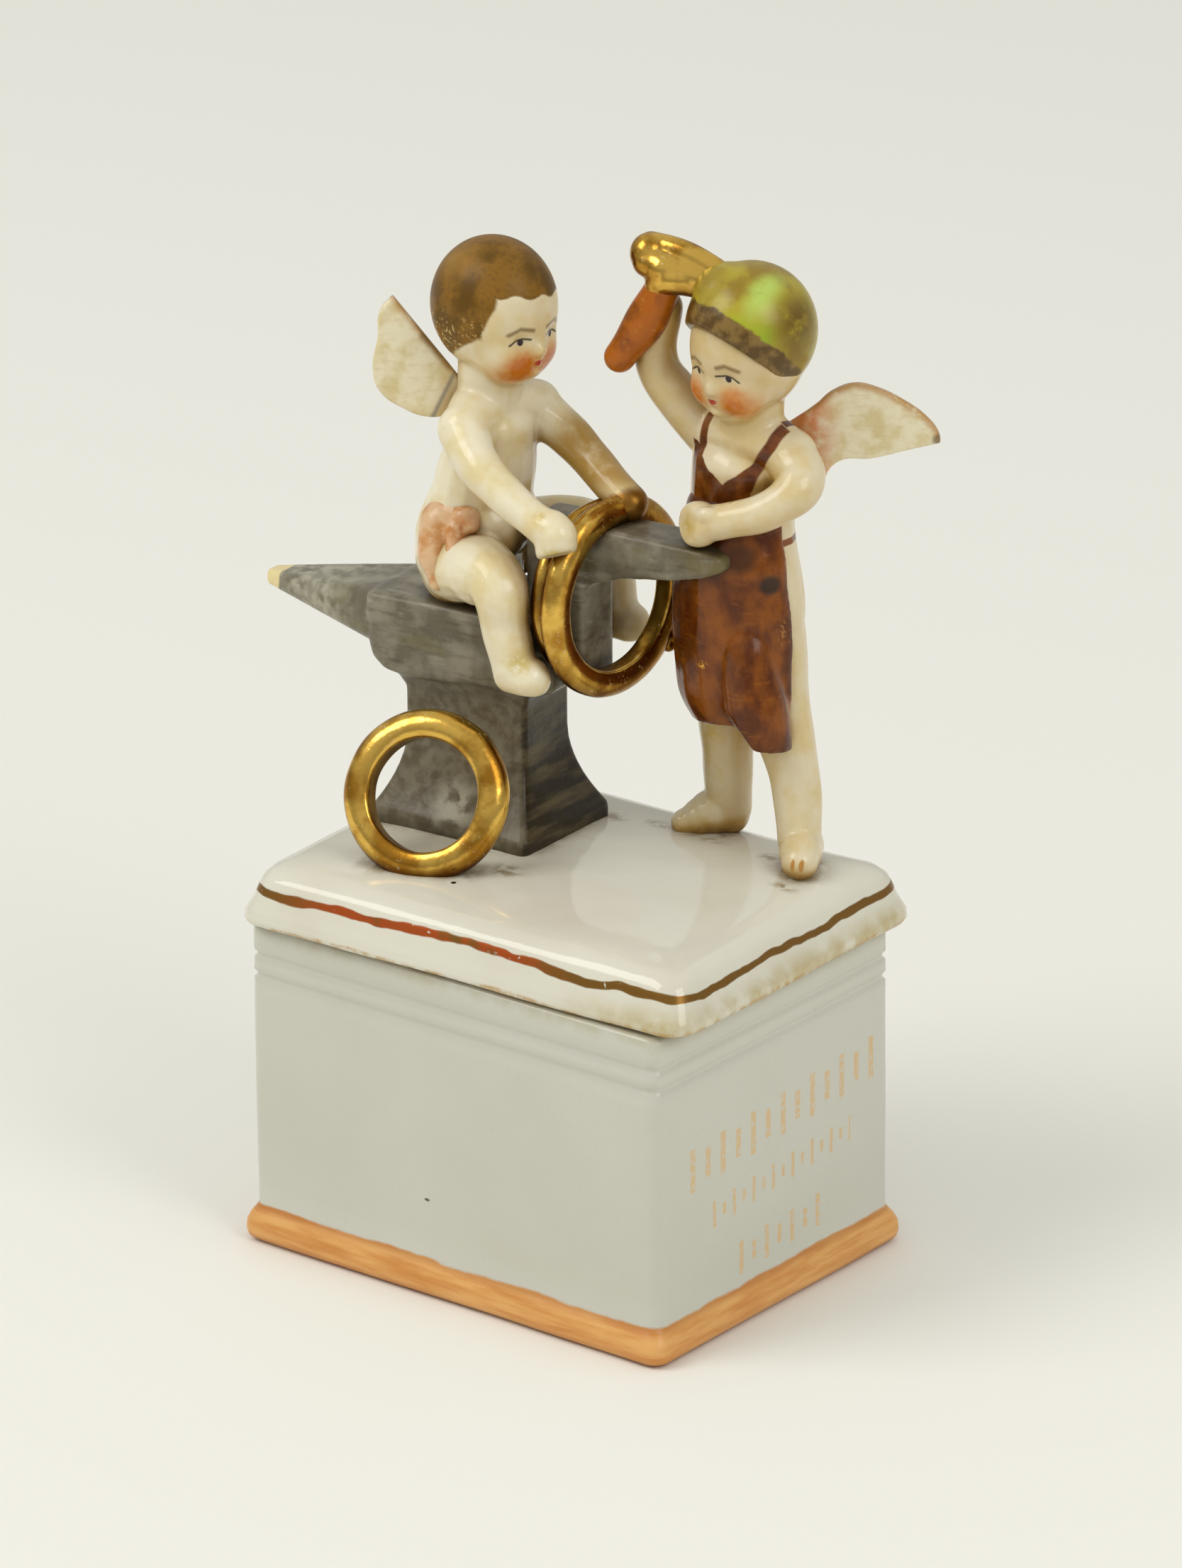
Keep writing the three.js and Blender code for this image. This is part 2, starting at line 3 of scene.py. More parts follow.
import bmesh
import bpy
from mathutils import Matrix, Vector


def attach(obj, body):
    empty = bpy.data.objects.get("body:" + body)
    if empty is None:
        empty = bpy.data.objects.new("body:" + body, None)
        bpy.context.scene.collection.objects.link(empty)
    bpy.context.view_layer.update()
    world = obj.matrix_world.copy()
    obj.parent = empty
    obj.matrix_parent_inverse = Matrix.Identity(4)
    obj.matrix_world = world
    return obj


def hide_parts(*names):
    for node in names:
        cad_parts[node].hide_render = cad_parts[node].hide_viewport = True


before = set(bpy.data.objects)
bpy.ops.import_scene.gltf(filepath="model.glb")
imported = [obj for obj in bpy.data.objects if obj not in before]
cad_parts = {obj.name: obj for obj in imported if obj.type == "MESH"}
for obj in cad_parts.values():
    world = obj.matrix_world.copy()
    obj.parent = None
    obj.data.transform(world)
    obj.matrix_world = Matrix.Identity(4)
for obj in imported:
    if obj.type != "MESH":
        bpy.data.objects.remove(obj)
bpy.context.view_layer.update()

# The studio: pale card under the porcelain, a large soft box on the left, a smaller one on the
# right and a white room. The camera stands far off behind a long lens.
CAMERA_AZIMUTH = math.radians(38.17)
CAMERA_ELEVATION = math.radians(21.36)
CAMERA_ROLL = math.radians(-0.39)
CAMERA_DISTANCE = 1.1078
CAMERA_AIM = (0, 0, 0.060)
FRAME_RIGHT = 0.00261
FRAME_DOWN = 0.00142
FOCAL_PIXELS = 13293.6
PHOTO_HEIGHT = 2212
SENSOR = 36
CLIP = (0.05, 10)
CARD_RADIUS = 3
ROOM_LIGHT = (0.42, 0.68)
ROOM_RISE = (0.05, 0.5)


def deselect():
    if bpy.context.mode != "OBJECT":
        bpy.ops.object.mode_set(mode="OBJECT")
    bpy.ops.object.select_all(action="DESELECT")


def mm(*values):
    return Vector(values) / 1000


def srgb(red, green, blue):
    # a colour as it looks, 0 to 255, as the linear light that a shader works in
    steps = [value / 255 for value in (red, green, blue)]
    return [v / 12.92 if v <= 0.04045 else ((v + 0.055) / 1.055) ** 2.4 for v in steps] + [1]


def place_camera():
    level = Vector((math.cos(CAMERA_AZIMUTH), math.sin(CAMERA_AZIMUTH), 0))
    back = Vector((
        math.sin(CAMERA_AZIMUTH) * math.cos(CAMERA_ELEVATION),
        -math.cos(CAMERA_AZIMUTH) * math.cos(CAMERA_ELEVATION),
        math.sin(CAMERA_ELEVATION),
    ))
    lift = back.cross(level)
    across = level * math.cos(CAMERA_ROLL) + lift * math.sin(CAMERA_ROLL)
    upward = lift * math.cos(CAMERA_ROLL) - level * math.sin(CAMERA_ROLL)
    spot = Vector(CAMERA_AIM) + back * CAMERA_DISTANCE
    spot += across * FRAME_RIGHT - upward * FRAME_DOWN
    turn = Matrix((across, upward, back)).transposed().to_euler()
    bpy.ops.object.camera_add(location=spot, rotation=turn)
    camera = bpy.context.object
    camera.data.sensor_width = SENSOR
    camera.data.lens = SENSOR * FOCAL_PIXELS / PHOTO_HEIGHT
    camera.data.clip_start, camera.data.clip_end = CLIP
    bpy.context.scene.camera = camera


def soft_box(name, place, size, power):
    turn = (Vector(place) - Vector(CAMERA_AIM)).to_track_quat("Z", "Y").to_euler()
    bpy.ops.object.light_add(type="AREA", location=place, rotation=turn)
    light = bpy.context.object
    light.name = name
    light.data.shape = "RECTANGLE"
    light.data.size, light.data.size_y = size
    light.data.energy = power
    light.data.color = (1, 0.985, 0.95)


def table():
    # a round card, far wider than the view
    bpy.ops.mesh.primitive_circle_add(vertices=96, radius=CARD_RADIUS, fill_type="NGON", location=(0, 0, 0))
    card = bpy.context.object
    card.name = "table"
    paper = bpy.data.materials.new("pale card")
    paper.use_nodes = True
    shader = paper.node_tree.nodes["Principled BSDF"]
    shader.inputs["Base Color"].default_value = srgb(244, 243, 236)
    shader.inputs["Roughness"].default_value = 0.7
    card.data.materials.append(paper)


def white_room():
    # bright overhead and dim round the walls, so that gilding has something dark to mirror
    room = bpy.data.worlds.new("white room")
    room.use_nodes = True
    nodes, links = room.node_tree.nodes, room.node_tree.links
    nodes["Background"].inputs["Color"].default_value = srgb(250, 250, 246)
    way = nodes.new("ShaderNodeTexCoord")
    parts = nodes.new("ShaderNodeSeparateXYZ")
    rise = nodes.new("ShaderNodeMapRange")
    rise.interpolation_type = "SMOOTHSTEP"
    for name, value in zip(("From Min", "From Max", "To Min", "To Max"), (*ROOM_RISE, *ROOM_LIGHT)):
        rise.inputs[name].default_value = value
    links.new(way.outputs["Generated"], parts.inputs[0])
    links.new(parts.outputs["Z"], rise.inputs["Value"])
    links.new(rise.outputs[0], nodes["Background"].inputs["Strength"])
    return room


deselect()
place_camera()
deselect()
table()
deselect()
soft_box("key soft box", (-0.55, -0.75, 1.05), (0.7, 0.7), 6.5)
soft_box("fill soft box", (0.95, -0.15, 0.75), (0.5, 0.6), 3)
bpy.context.scene.world = white_room()
bpy.context.scene.view_settings.view_transform = "Standard"

# The box: porcelain cast in one piece with four plain walls, a foot band that swells and two
# grooves pressed in under the rim. Pale grey glaze, the band brushed in ochre, faded gilt strokes
# on one end, and walls that went a little wavy in the kiln.
BODY_LENGTH = 61
BODY_WIDTH = 46
BODY_HEIGHT = 41
WALL = 3.5
FLOOR = 3.2
CORNER = 1.8
BAND_HEIGHT = 4.7
BAND_SWELL = 1.2
GROOVES = (34.4, 37.0)
GROOVE_HALF = 0.62
GROOVE_DEPTH = 0.3
# across a groove, in halves of its width, and how deep it is there
GROOVE_SHAPE = ((-1, 0), (-0.45, 0.75), (0, 1), (0.45, 0.75), (1, 0))
SMOOTH_BELOW = math.radians(50)


def stack(name, corner, levels, corner_steps=6, side_steps=14):
    """A skin drawn up level by level from a rounded rectangle: (length, width, height) each."""
    length, width, height = levels[0]
    bpy.ops.mesh.primitive_plane_add(size=1, location=mm(0, 0, height))
    piece = bpy.context.object
    piece.name = name
    bpy.ops.object.mode_set(mode="EDIT")
    bpy.ops.transform.resize(value=(length / 1000, width / 1000, 1))
    bpy.ops.mesh.bevel(offset=corner / 1000, segments=corner_steps, affect="VERTICES")
    mesh = bmesh.from_edit_mesh(piece.data)
    for edge in mesh.edges:
        edge.select = edge.calc_length() > corner / 1000
    bpy.ops.mesh.subdivide(number_cuts=side_steps)
    bpy.ops.mesh.select_all(action="SELECT")
    for next_length, next_width, next_height in levels[1:]:
        rise = (0, 0, (next_height - height) / 1000)
        grow = (next_length / length, next_width / width, 1)
        bpy.ops.mesh.extrude_region_move(TRANSFORM_OT_translate={"value": rise})
        bpy.ops.transform.resize(value=grow, center_override=mm(0, 0, next_height))
        length, width, height = next_length, next_width, next_height
    bpy.ops.mesh.select_all(action="SELECT")
    bpy.ops.mesh.normals_make_consistent(inside=False)
    bpy.ops.object.mode_set(mode="OBJECT")
    bpy.ops.object.transform_apply()
    return piece


def modify(piece, kind, **settings):
    bpy.context.view_layer.objects.active = piece
    made = piece.modifiers.new(kind.title(), kind)
    for key, value in settings.items():
        setattr(made, key, value)
    bpy.ops.object.modifier_apply(modifier=made.name)


def waver(piece, strength, size):
    # the slow unevenness of a hand-finished cast, in millimetres
    cloud = bpy.data.textures.new(piece.name + " waver", "CLOUDS")
    cloud.noise_scale = size / 1000
    cloud.noise_depth = 1
    modify(piece, "DISPLACE", texture=cloud, texture_coords="LOCAL", strength=strength / 1000)


class Paint:
    """The paint and glaze on one fired surface: each call adds nodes and hands back a socket."""

    def __init__(self, name, roughness, gloss=0.5):
        self.material = bpy.data.materials.new(name)
        self.material.use_nodes = True
        self.tree = self.material.node_tree
        self.shader = self.tree.nodes["Principled BSDF"]
        self.shader.inputs["Roughness"].default_value = roughness
        self.shader.inputs["Specular IOR Level"].default_value = gloss
        self.place = self.node("ShaderNodeTexCoord").outputs["Object"]
        self.parts = self.split(self.place)
        self.facing = self.split(self.node("ShaderNodeNewGeometry").outputs["Normal"])

    def node(self, kind, inputs=None, **settings):
        made = self.tree.nodes.new(kind)
        for key, value in settings.items():
            setattr(made, key, value)
        for key, value in (inputs or {}).items():
            if isinstance(value, bpy.types.NodeSocket):
                self.tree.links.new(value, made.inputs[key])
            else:
                made.inputs[key].default_value = value
        return made

    def math(self, operation, first, second=0.0, third=0.0):
        inputs = {0: first, 1: second, 2: third}
        return self.node("ShaderNodeMath", inputs, operation=operation).outputs[0]

    def both(self, first, second):
        return self.math("MULTIPLY", first, second)

    def scaled(self, value, factor, offset):
        return self.math("MULTIPLY_ADD", value, factor, offset)

    def vector(self, operation, first, second=(0, 0, 0)):
        made = self.node("ShaderNodeVectorMath", {0: first, 1: second}, operation=operation)
        return made.outputs["Vector" if operation in ("SUBTRACT", "MULTIPLY") else "Value"]

    def split(self, vector):
        return self.node("ShaderNodeSeparateXYZ", {"Vector": vector}).outputs

    def flat(self, across, up):
        return self.node("ShaderNodeCombineXYZ", {0: across, 1: up, 2: 0.0}).outputs[0]

    def noise(self, size, detail, stretch=(1, 1, 1), turn=(0, 0, 0)):
        """Cloudy noise with blots of the given size in millimetres, longer along a stretch."""
        scale = [1000 / (size * along) for along in stretch]
        seat = self.node("ShaderNodeMapping", {
            "Vector": self.place, "Rotation": turn, "Scale": scale})
        return self.node("ShaderNodeTexNoise", {
            "Vector": seat.outputs[0], "Scale": 1, "Detail": detail, "Roughness": 0.55,
        }).outputs["Fac"]

    def edge(self, value, low, high):
        """0 below low and 1 above high, or the other way round where low is the larger."""
        return self.node("ShaderNodeMapRange", {
            "Value": value, "From Min": low, "From Max": high,
        }, interpolation_type="SMOOTHSTEP").outputs[0]

    def patches(self, size, detail, low, high):
        return self.edge(self.noise(size, detail), low, high)

    def local(self, centre, turn=0, scale=(1, 1, 1)):
        """Coordinates in millimetres about a centre: X forward, Y left, Z up."""
        seat = self.node("ShaderNodeMapping", {
            "Vector": self.place,
            "Location": mm(*centre),
            "Rotation": (0, 0, math.radians(turn)),
            "Scale": [value / 1000 for value in scale],
        }, vector_type="TEXTURE")
        return seat.outputs[0]

    def spot(self, centre, radii, soft):
        """A blot of paint with soft rims where an ellipsoid meets the surface."""
        far = self.vector("LENGTH", self.local(centre, 0, radii))
        return self.edge(far, 1, 1 - soft)

    def broken(self, centre, radii, soft, patches):
        """The same blot, broken up by patches."""
        return self.both(self.spot(centre, radii, soft), self.patches(*patches))

    def lay(self, under, over, amount, strength=None):
        """Colour laid over what is under it; each is a socket, or a colour as it looks."""
        if strength is not None:
            amount = self.both(amount, strength)
        under, over = [srgb(*shade) if isinstance(shade, tuple) else shade for shade in (under, over)]
        return self.node("ShaderNodeMix", {0: amount, 6: under, 7: over}, data_type="RGBA").outputs[2]

    def creases(self, reach, samples=8):
        """1 in hollows and joints, where shade falls, 0 on open ground."""
        made = self.node("ShaderNodeAmbientOcclusion", {"Distance": reach / 1000}, samples=samples)
        return self.edge(made.outputs["AO"], 0.95, 0.35)

    def link(self, socket, name):
        self.tree.links.new(socket, self.shader.inputs[name])

    def bump(self, height, depth):
        made = self.node("ShaderNodeBump", {"Height": height, "Distance": depth / 1000, "Strength": 1})
        self.link(made.outputs[0], "Normal")


def grey_glaze():
    coat = Paint("grey glaze", 0.2)
    z = coat.parts["Z"]
    ground = coat.lay((204, 203, 191), (200, 199, 186), coat.patches(22, 2, 0.3, 0.7))
    ground = coat.lay(ground, (188, 186, 170), coat.patches(0.5, 2, 0.56, 0.75), 0.25)
    joint = coat.both(coat.edge(z, 0.0385, 0.0412), coat.patches(5, 3, 0.35, 0.7))
    ground = coat.lay(ground, (176, 166, 120), joint, 0.6)
    # painted shade: the glaze darkened in the grooves and corners, where shade falls
    ground = coat.lay(ground, (160, 158, 142), coat.creases(1.4), 0.35)
    speck = coat.spot((-3.6, -23, 12.2), (0.45, 1.2, 0.22), soft=0.3)
    ground = coat.lay(ground, (92, 88, 76), speck)
    ground = coat.lay(ground, (214, 183, 135), gilt_strokes(coat))
    wobble = coat.both(coat.math("SUBTRACT", coat.noise(7, 3), 0.5), 0.0012)
    band = coat.edge(coat.math("ADD", z, wobble), BAND_HEIGHT / 1000 + 0.0002, BAND_HEIGHT / 1000 - 0.0002)
    streak = coat.noise(1.1, 4, stretch=(9, 9, 1))
    ochre = coat.lay((207, 137, 62), (228, 172, 100), coat.edge(streak, 0.3, 0.7))
    low = coat.edge(z, 0.0012, 0.0)
    ochre = coat.lay(ochre, (160, 92, 36), low, 0.7)
    top = coat.math("SUBTRACT", 1, coat.edge(z, BAND_HEIGHT / 1000 - 0.0002, BAND_HEIGHT / 1000 - 0.001))
    ochre = coat.lay(ochre, (176, 108, 46), top, 0.5)
    coat.link(coat.lay(ground, ochre, band), "Base Color")
    coat.link(coat.scaled(band, 0.18, 0.2), "Roughness")
    coat.bump(coat.noise(6, 2), 0.12)
    return coat.material


def gilt_strokes(coat):
    # three rows of plain upright strokes that climb a little to the right, worn thin
    rows = (
        # left, right, middle height at the left, rise to the right, stroke height, pitch, width
        (-17.4, 19.4, 22.3, 2.8, 5.4, 2.9, 0.95),
        (-12.8, 14.8, 15.5, 1.9, 3.3, 1.9, 0.6),
        (-8.0, 10.4, 8.2, 1.0, 4.2, 2.5, 0.8),
    )
    y, z = coat.parts["Y"], coat.parts["Z"]
    worn = coat.patches(0.8, 4, 0.36, 0.52)
    face = coat.edge(coat.parts["X"], 0.0296, 0.0302)
    whole = None
    for left, right, middle, rise, height, pitch, width in rows:
        along = coat.math("DIVIDE", coat.math("SUBTRACT", y, left / 1000), pitch / 1000)
        number = coat.math("FLOOR", along)
        within = coat.math("ABSOLUTE", coat.math("SUBTRACT", coat.math("SUBTRACT", along, number), 0.5))
        bar = coat.edge(within, width / pitch / 2 + 0.03, width / pitch / 2 - 0.03)
        odd = coat.math("MODULO", coat.math("ABSOLUTE", number), 2)
        tall = coat.scaled(odd, -0.0009, height / 2000)
        line = coat.scaled(coat.math("SUBTRACT", y, left / 1000), rise / (right - left), middle / 1000)
        off = coat.math("ABSOLUTE", coat.math("SUBTRACT", z, line))
        inside = coat.edge(coat.math("SUBTRACT", off, tall), 0.0001, -0.0001)
        start = coat.edge(y, left / 1000, (left + 0.1) / 1000)
        end = coat.edge(y, right / 1000, (right - 0.1) / 1000)
        row = coat.both(coat.both(bar, inside), coat.both(start, end))
        whole = row if whole is None else coat.math("MAXIMUM", whole, row)
    return coat.both(coat.both(whole, face), coat.scaled(worn, 0.6, 0.3))


def box_levels():
    """The outer skin from the foot up to the rim, then the inner one down to the floor."""
    profile = [
        # height, and how far out of the wall
        (0, -0.4), (0.15, 0.35), (0.7, BAND_SWELL * 0.85), (1.5, BAND_SWELL), (2.6, BAND_SWELL * 0.93),
        (3.5, BAND_SWELL * 0.62), (4.2, 0.28), (BAND_HEIGHT, 0.02),
    ]
    profile += [(height, 0) for height in (8, 13, 18, 23, 28, 32)]
    for middle in GROOVES:
        profile += [(middle + GROOVE_HALF * aside, -GROOVE_DEPTH * deep) for aside, deep in GROOVE_SHAPE]
    profile += [
        (39, 0), (BODY_HEIGHT - 0.4, 0), (BODY_HEIGHT, -0.4), (BODY_HEIGHT, 0.5 - WALL),
        (BODY_HEIGHT - 0.5, -WALL), (FLOOR + 1.2, -WALL), (FLOOR + 0.3, -WALL - 0.4), (FLOOR, -WALL - 1.4),
    ]
    return [(BODY_LENGTH + 2 * out, BODY_WIDTH + 2 * out, height) for height, out in profile]


deselect()
box_body = stack("box_body", CORNER, box_levels())
waver(box_body, 0.5, 26)
bpy.ops.object.mode_set(mode="EDIT")
for vertex in bmesh.from_edit_mesh(box_body.data).verts:
    vertex.co.z = max(vertex.co.z, 0)
bpy.ops.object.mode_set(mode="OBJECT")
bpy.ops.object.shade_smooth_by_angle(angle=SMOOTH_BELOW)
box_body.data.materials.append(grey_glaze())
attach(box_body, "root")
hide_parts("box")

# The lid: one porcelain cast with a thin rim, a sloping shoulder and a low cushion of a top, and
# underneath a flange that drops into the box. White glaze, a worn gilt line round the shoulder
# and another along the rim, and dirt settled, with painted shade, where the figures were stuck down.
LID_LENGTH = 65.3
LID_WIDTH = 48.2
LID_CORNER = 2.2
LID_UNDER = 41.35
LID_TOP = 49
LID_TURN = 1.8
LID_SHIFT = (0.5, 0.4)
FLANGE = (50, 35)
FLANGE_WALL = 2.4
FLANGE_DEPTH = 2.6
HOLLOW_TOP = 44.8
GILT_LINE = 45.75


def lid_levels():
    """The hollow and the flange from the inside out, then the rim, the shoulder and the top."""
    tip, inner = LID_UNDER - FLANGE_DEPTH, -2 * FLANGE_WALL
    flange = (
        # added to the flange's size, and height
        (inner - 3, HOLLOW_TOP), (inner, HOLLOW_TOP - 1), (inner, tip + 0.3), (inner + 0.6, tip),
        (-0.6, tip), (0, tip + 0.4), (0, LID_UNDER),
    )
    rim = (
        # inset from the lid's size, and height
        (0.8, LID_UNDER), (0.2, LID_UNDER + 0.2), (0, LID_UNDER + 0.6), (0.05, LID_UNDER + 1.3),
        (0.4, LID_UNDER + 2.1), (0.8, LID_UNDER + 3), (1.3, LID_TOP - 3), (1.7, LID_TOP - 2),
        (2.6, LID_TOP - 1.15), (4.2, LID_TOP - 0.6), (6.6, LID_TOP - 0.25), (9.6, LID_TOP - 0.08),
        (13.5, LID_TOP), (18, LID_TOP + 0.04),
    )
    levels = [(FLANGE[0] + size, FLANGE[1] + size, height) for size, height in flange]
    return levels + [(LID_LENGTH - 2 * inset, LID_WIDTH - 2 * inset, height) for inset, height in rim]


LID_DIRT = (
    # middle and reach of each stain where feet, foot and ring were stuck down
    ((-4.2, 14.0), (2.6, 2.2)), ((1.6, 15.6), (3.2, 1.6)), ((8.6, 15.4), (4.4, 1.7)),
    ((18.6, 14.8), (2.2, 1.8)), ((25.2, 8.6), (2.8, 1.6)), ((-3.6, -7.6), (3.4, 2.6)),
    ((-12.0, -12.6), (7.0, 2.0)), ((-27, -3), (3, 4)),
)


def white_glaze():
    coat = Paint("white glaze", 0.09)
    z = coat.parts["Z"]
    ground = coat.lay((222, 219, 203), (216, 212, 194), coat.patches(16, 2, 0.4, 0.7))
    blush = coat.both(coat.spot((9, -12, 49), (16, 12, 9), soft=0.9), coat.noise(9, 2))
    ground = coat.lay(ground, (222, 206, 192), blush, 0.4)
    # stain where the figures were stuck down, and painted shade in the creases round them
    stain_and_shade = coat.both(coat.creases(3.2, 12), coat.patches(2.4, 4, 0.3, 0.62))
    for centre, radii in LID_DIRT:
        patch = coat.broken((*centre, LID_TOP), (*radii, 1.5), 0.9, (1.3, 4, 0.36, 0.6))
        stain_and_shade = coat.math("MAXIMUM", stain_and_shade, patch)
    ground = coat.lay(ground, (138, 112, 62), stain_and_shade, 0.8)
    ground = coat.lay(ground, (48, 36, 22), coat.spot((-6.2, -14.1, 48.9), (0.4, 0.4, 0.6), soft=0.3))
    # the shoulder and rim at the right end painted darker and yellower
    right_end_tint = coat.both(coat.edge(z, 0.0452, 0.0424), coat.edge(coat.parts["X"], 0.012, 0.03))
    right_end_tint = coat.both(right_end_tint, coat.patches(4, 3, 0.25, 0.65))
    ground = coat.lay(ground, (186, 168, 116), right_end_tint, 0.85)
    sway = coat.both(coat.math("SUBTRACT", coat.noise(9, 2), 0.5), 0.0022)
    height = coat.math("ADD", z, sway)
    line = coat.math("ABSOLUTE", coat.math("SUBTRACT", height, GILT_LINE / 1000))
    wide = coat.scaled(coat.noise(4, 2), 0.0005, 0.0002)
    gilt = coat.edge(coat.math("SUBTRACT", line, wide), 0.00012, -0.00008)
    gilt = coat.both(gilt, coat.patches(1.2, 3, 0.26, 0.34))
    fired = coat.broken((-4, -24, 46), (24, 9, 8), 0.5, (5, 2, 0.3, 0.5))
    colour = coat.lay((132, 94, 34), (184, 84, 30), fired)
    rim_low = coat.edge(coat.math("ADD", z, coat.both(sway, 0.5)), 0.04215, 0.0418)
    rim_worn = coat.both(rim_low, coat.patches(2.0, 4, 0.4, 0.62))
    outside = coat.edge(z, 0.0412, 0.0414)
    ground = coat.lay(ground, (186, 144, 74), coat.both(rim_worn, outside), 0.8)
    coat.link(coat.lay(ground, colour, gilt), "Base Color")
    coat.link(coat.both(gilt, 0.6), "Metallic")
    coat.link(coat.scaled(gilt, 0.2, 0.09), "Roughness")
    coat.bump(coat.noise(7, 2), 0.1)
    return coat.material


deselect()
lid = stack("lid", LID_CORNER, lid_levels(), corner_steps=8, side_steps=22)
waver(lid, 0.55, 17)
bpy.ops.object.shade_smooth_by_angle(angle=math.radians(60))
lid.rotation_euler.z = math.radians(LID_TURN)
lid.location = mm(*LID_SHIFT, 0)
bpy.ops.object.transform_apply()
lid.data.materials.append(white_glaze())
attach(lid, "root")
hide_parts("lid_with_figures")

# The anvil: pressed in a mould, so every edge is soft. A flared foot, a waisted neck, the block
# with its long horn, and a post that carries the heel. Grey enamel brushed on thin, so that
# brown, green and white show through in streaks.
FOOT_CENTRE = (-16, 5.1)
FOOT_SIZE = (23, 17.6)
FOOT_TURN = 2
ANVIL_CENTRE = (-17, 6)
ANVIL_TURN = 7
NECK_SIZE = (16.6, 10.4)
FOOT_EDGE = 50.6
FOOT_FLARE = 1.95
NECK_BOTTOM = 60.4
BLOCK_BOTTOM = 67.9
BLOCK_LEFT = -12.4
BLOCK_RIGHT = 13.2
BLOCK_DEPTH = 15.2
SEAT_HEIGHT = 77.25
PANEL_LEDGE = 3.2
PANEL_SINK = 0.55
HORN_TIP = (-30.2, 73.7)
HEEL_TOP = 88.9
HEEL_END = 33.8
HEEL_WIDTH = 6.8
HEEL_THICKNESS = 4.6
POST = (7.6, 15.6)
POST_WIDTH = 7.4


def drawn(name, sections, corner):
    """A bar drawn along X through upright sections: (place, width, bottom, top) each."""
    place, width, bottom, top = sections[0]
    bpy.ops.mesh.primitive_plane_add(
        size=1, location=mm(place, 0, (bottom + top) / 2), rotation=(0, math.radians(90), 0))
    piece = bpy.context.object
    piece.name = name
    bpy.ops.object.mode_set(mode="EDIT")
    bpy.ops.transform.resize(value=(1, width / 1000, (top - bottom) / 1000))
    bpy.ops.mesh.bevel(offset=min(width, top - bottom) * corner / 1000, segments=4, affect="VERTICES")
    bpy.ops.mesh.select_all(action="SELECT")
    for next_place, next_width, next_bottom, next_top in sections[1:]:
        move = mm(next_place - place, 0, (next_bottom + next_top - bottom - top) / 2)
        grow = (1, next_width / width, (next_top - next_bottom) / (top - bottom))
        middle = mm(next_place, 0, (next_bottom + next_top) / 2)
        bpy.ops.mesh.extrude_region_move(TRANSFORM_OT_translate={"value": move})
        bpy.ops.transform.resize(value=grow, center_override=middle)
        place, width, bottom, top = next_place, next_width, next_bottom, next_top
    bpy.ops.mesh.select_all(action="SELECT")
    bpy.ops.mesh.normals_make_consistent(inside=False)
    bpy.ops.object.mode_set(mode="OBJECT")
    bpy.ops.object.transform_apply()
    return piece


def choose(*pieces):
    deselect()
    for piece in pieces:
        piece.select_set(True)
    bpy.context.view_layer.objects.active = pieces[0]


def fuse(name, parts, voxel, passes):
    """Parts pressed into one closed skin, with its creases filled as slip fills them."""
    choose(*parts)
    bpy.ops.object.join()
    bpy.ops.object.transform_apply()
    whole = bpy.context.object
    whole.name = name
    modify(whole, "REMESH", mode="VOXEL", voxel_size=voxel / 1000, use_smooth_shade=True)
    modify(whole, "SMOOTH", factor=0.5, iterations=passes)
    return whole


def turned(piece, degrees, shift):
    choose(piece)
    piece.rotation_euler.z = math.radians(degrees)
    piece.location = mm(*shift)
    bpy.ops.object.transform_apply()
    return piece


def anvil_foot():
    levels = [(*FOOT_SIZE, LID_TOP - 1.6), (*FOOT_SIZE, FOOT_EDGE)]
    steps = 8
    for step in range(1, steps + 1):
        spread = (1 - step / steps) ** FOOT_FLARE
        size = [neck + (foot - neck) * spread for neck, foot in zip(NECK_SIZE, FOOT_SIZE)]
        levels.append((*size, FOOT_EDGE + (NECK_BOTTOM - FOOT_EDGE) * step / steps))
    levels.append((*NECK_SIZE, BLOCK_BOTTOM - 2.6))
    levels.append((NECK_SIZE[0] + 2, NECK_SIZE[1] + 2, BLOCK_BOTTOM - 0.4))
    levels.append((NECK_SIZE[0] + 3, NECK_SIZE[1] + 3, BLOCK_BOTTOM + 1))
    foot = stack("anvil_foot", 0.9, levels, corner_steps=3, side_steps=5)
    lowest, highest = LID_TOP, NECK_BOTTOM
    bpy.ops.object.mode_set(mode="EDIT")
    mesh = bmesh.from_edit_mesh(foot.data)
    for vertex in mesh.verts:
        share = min(max((vertex.co.z * 1000 - lowest) / (highest - lowest), 0), 1)
        angle = math.radians(FOOT_TURN + (ANVIL_TURN - FOOT_TURN) * share)
        centre = [
            foot_at + (neck_at - foot_at) * share for foot_at, neck_at in zip(FOOT_CENTRE, ANVIL_CENTRE)]
        vertex.co = Matrix.Rotation(angle, 3, "Z") @ vertex.co + mm(*centre, 0)
    bpy.ops.object.mode_set(mode="OBJECT")
    return foot


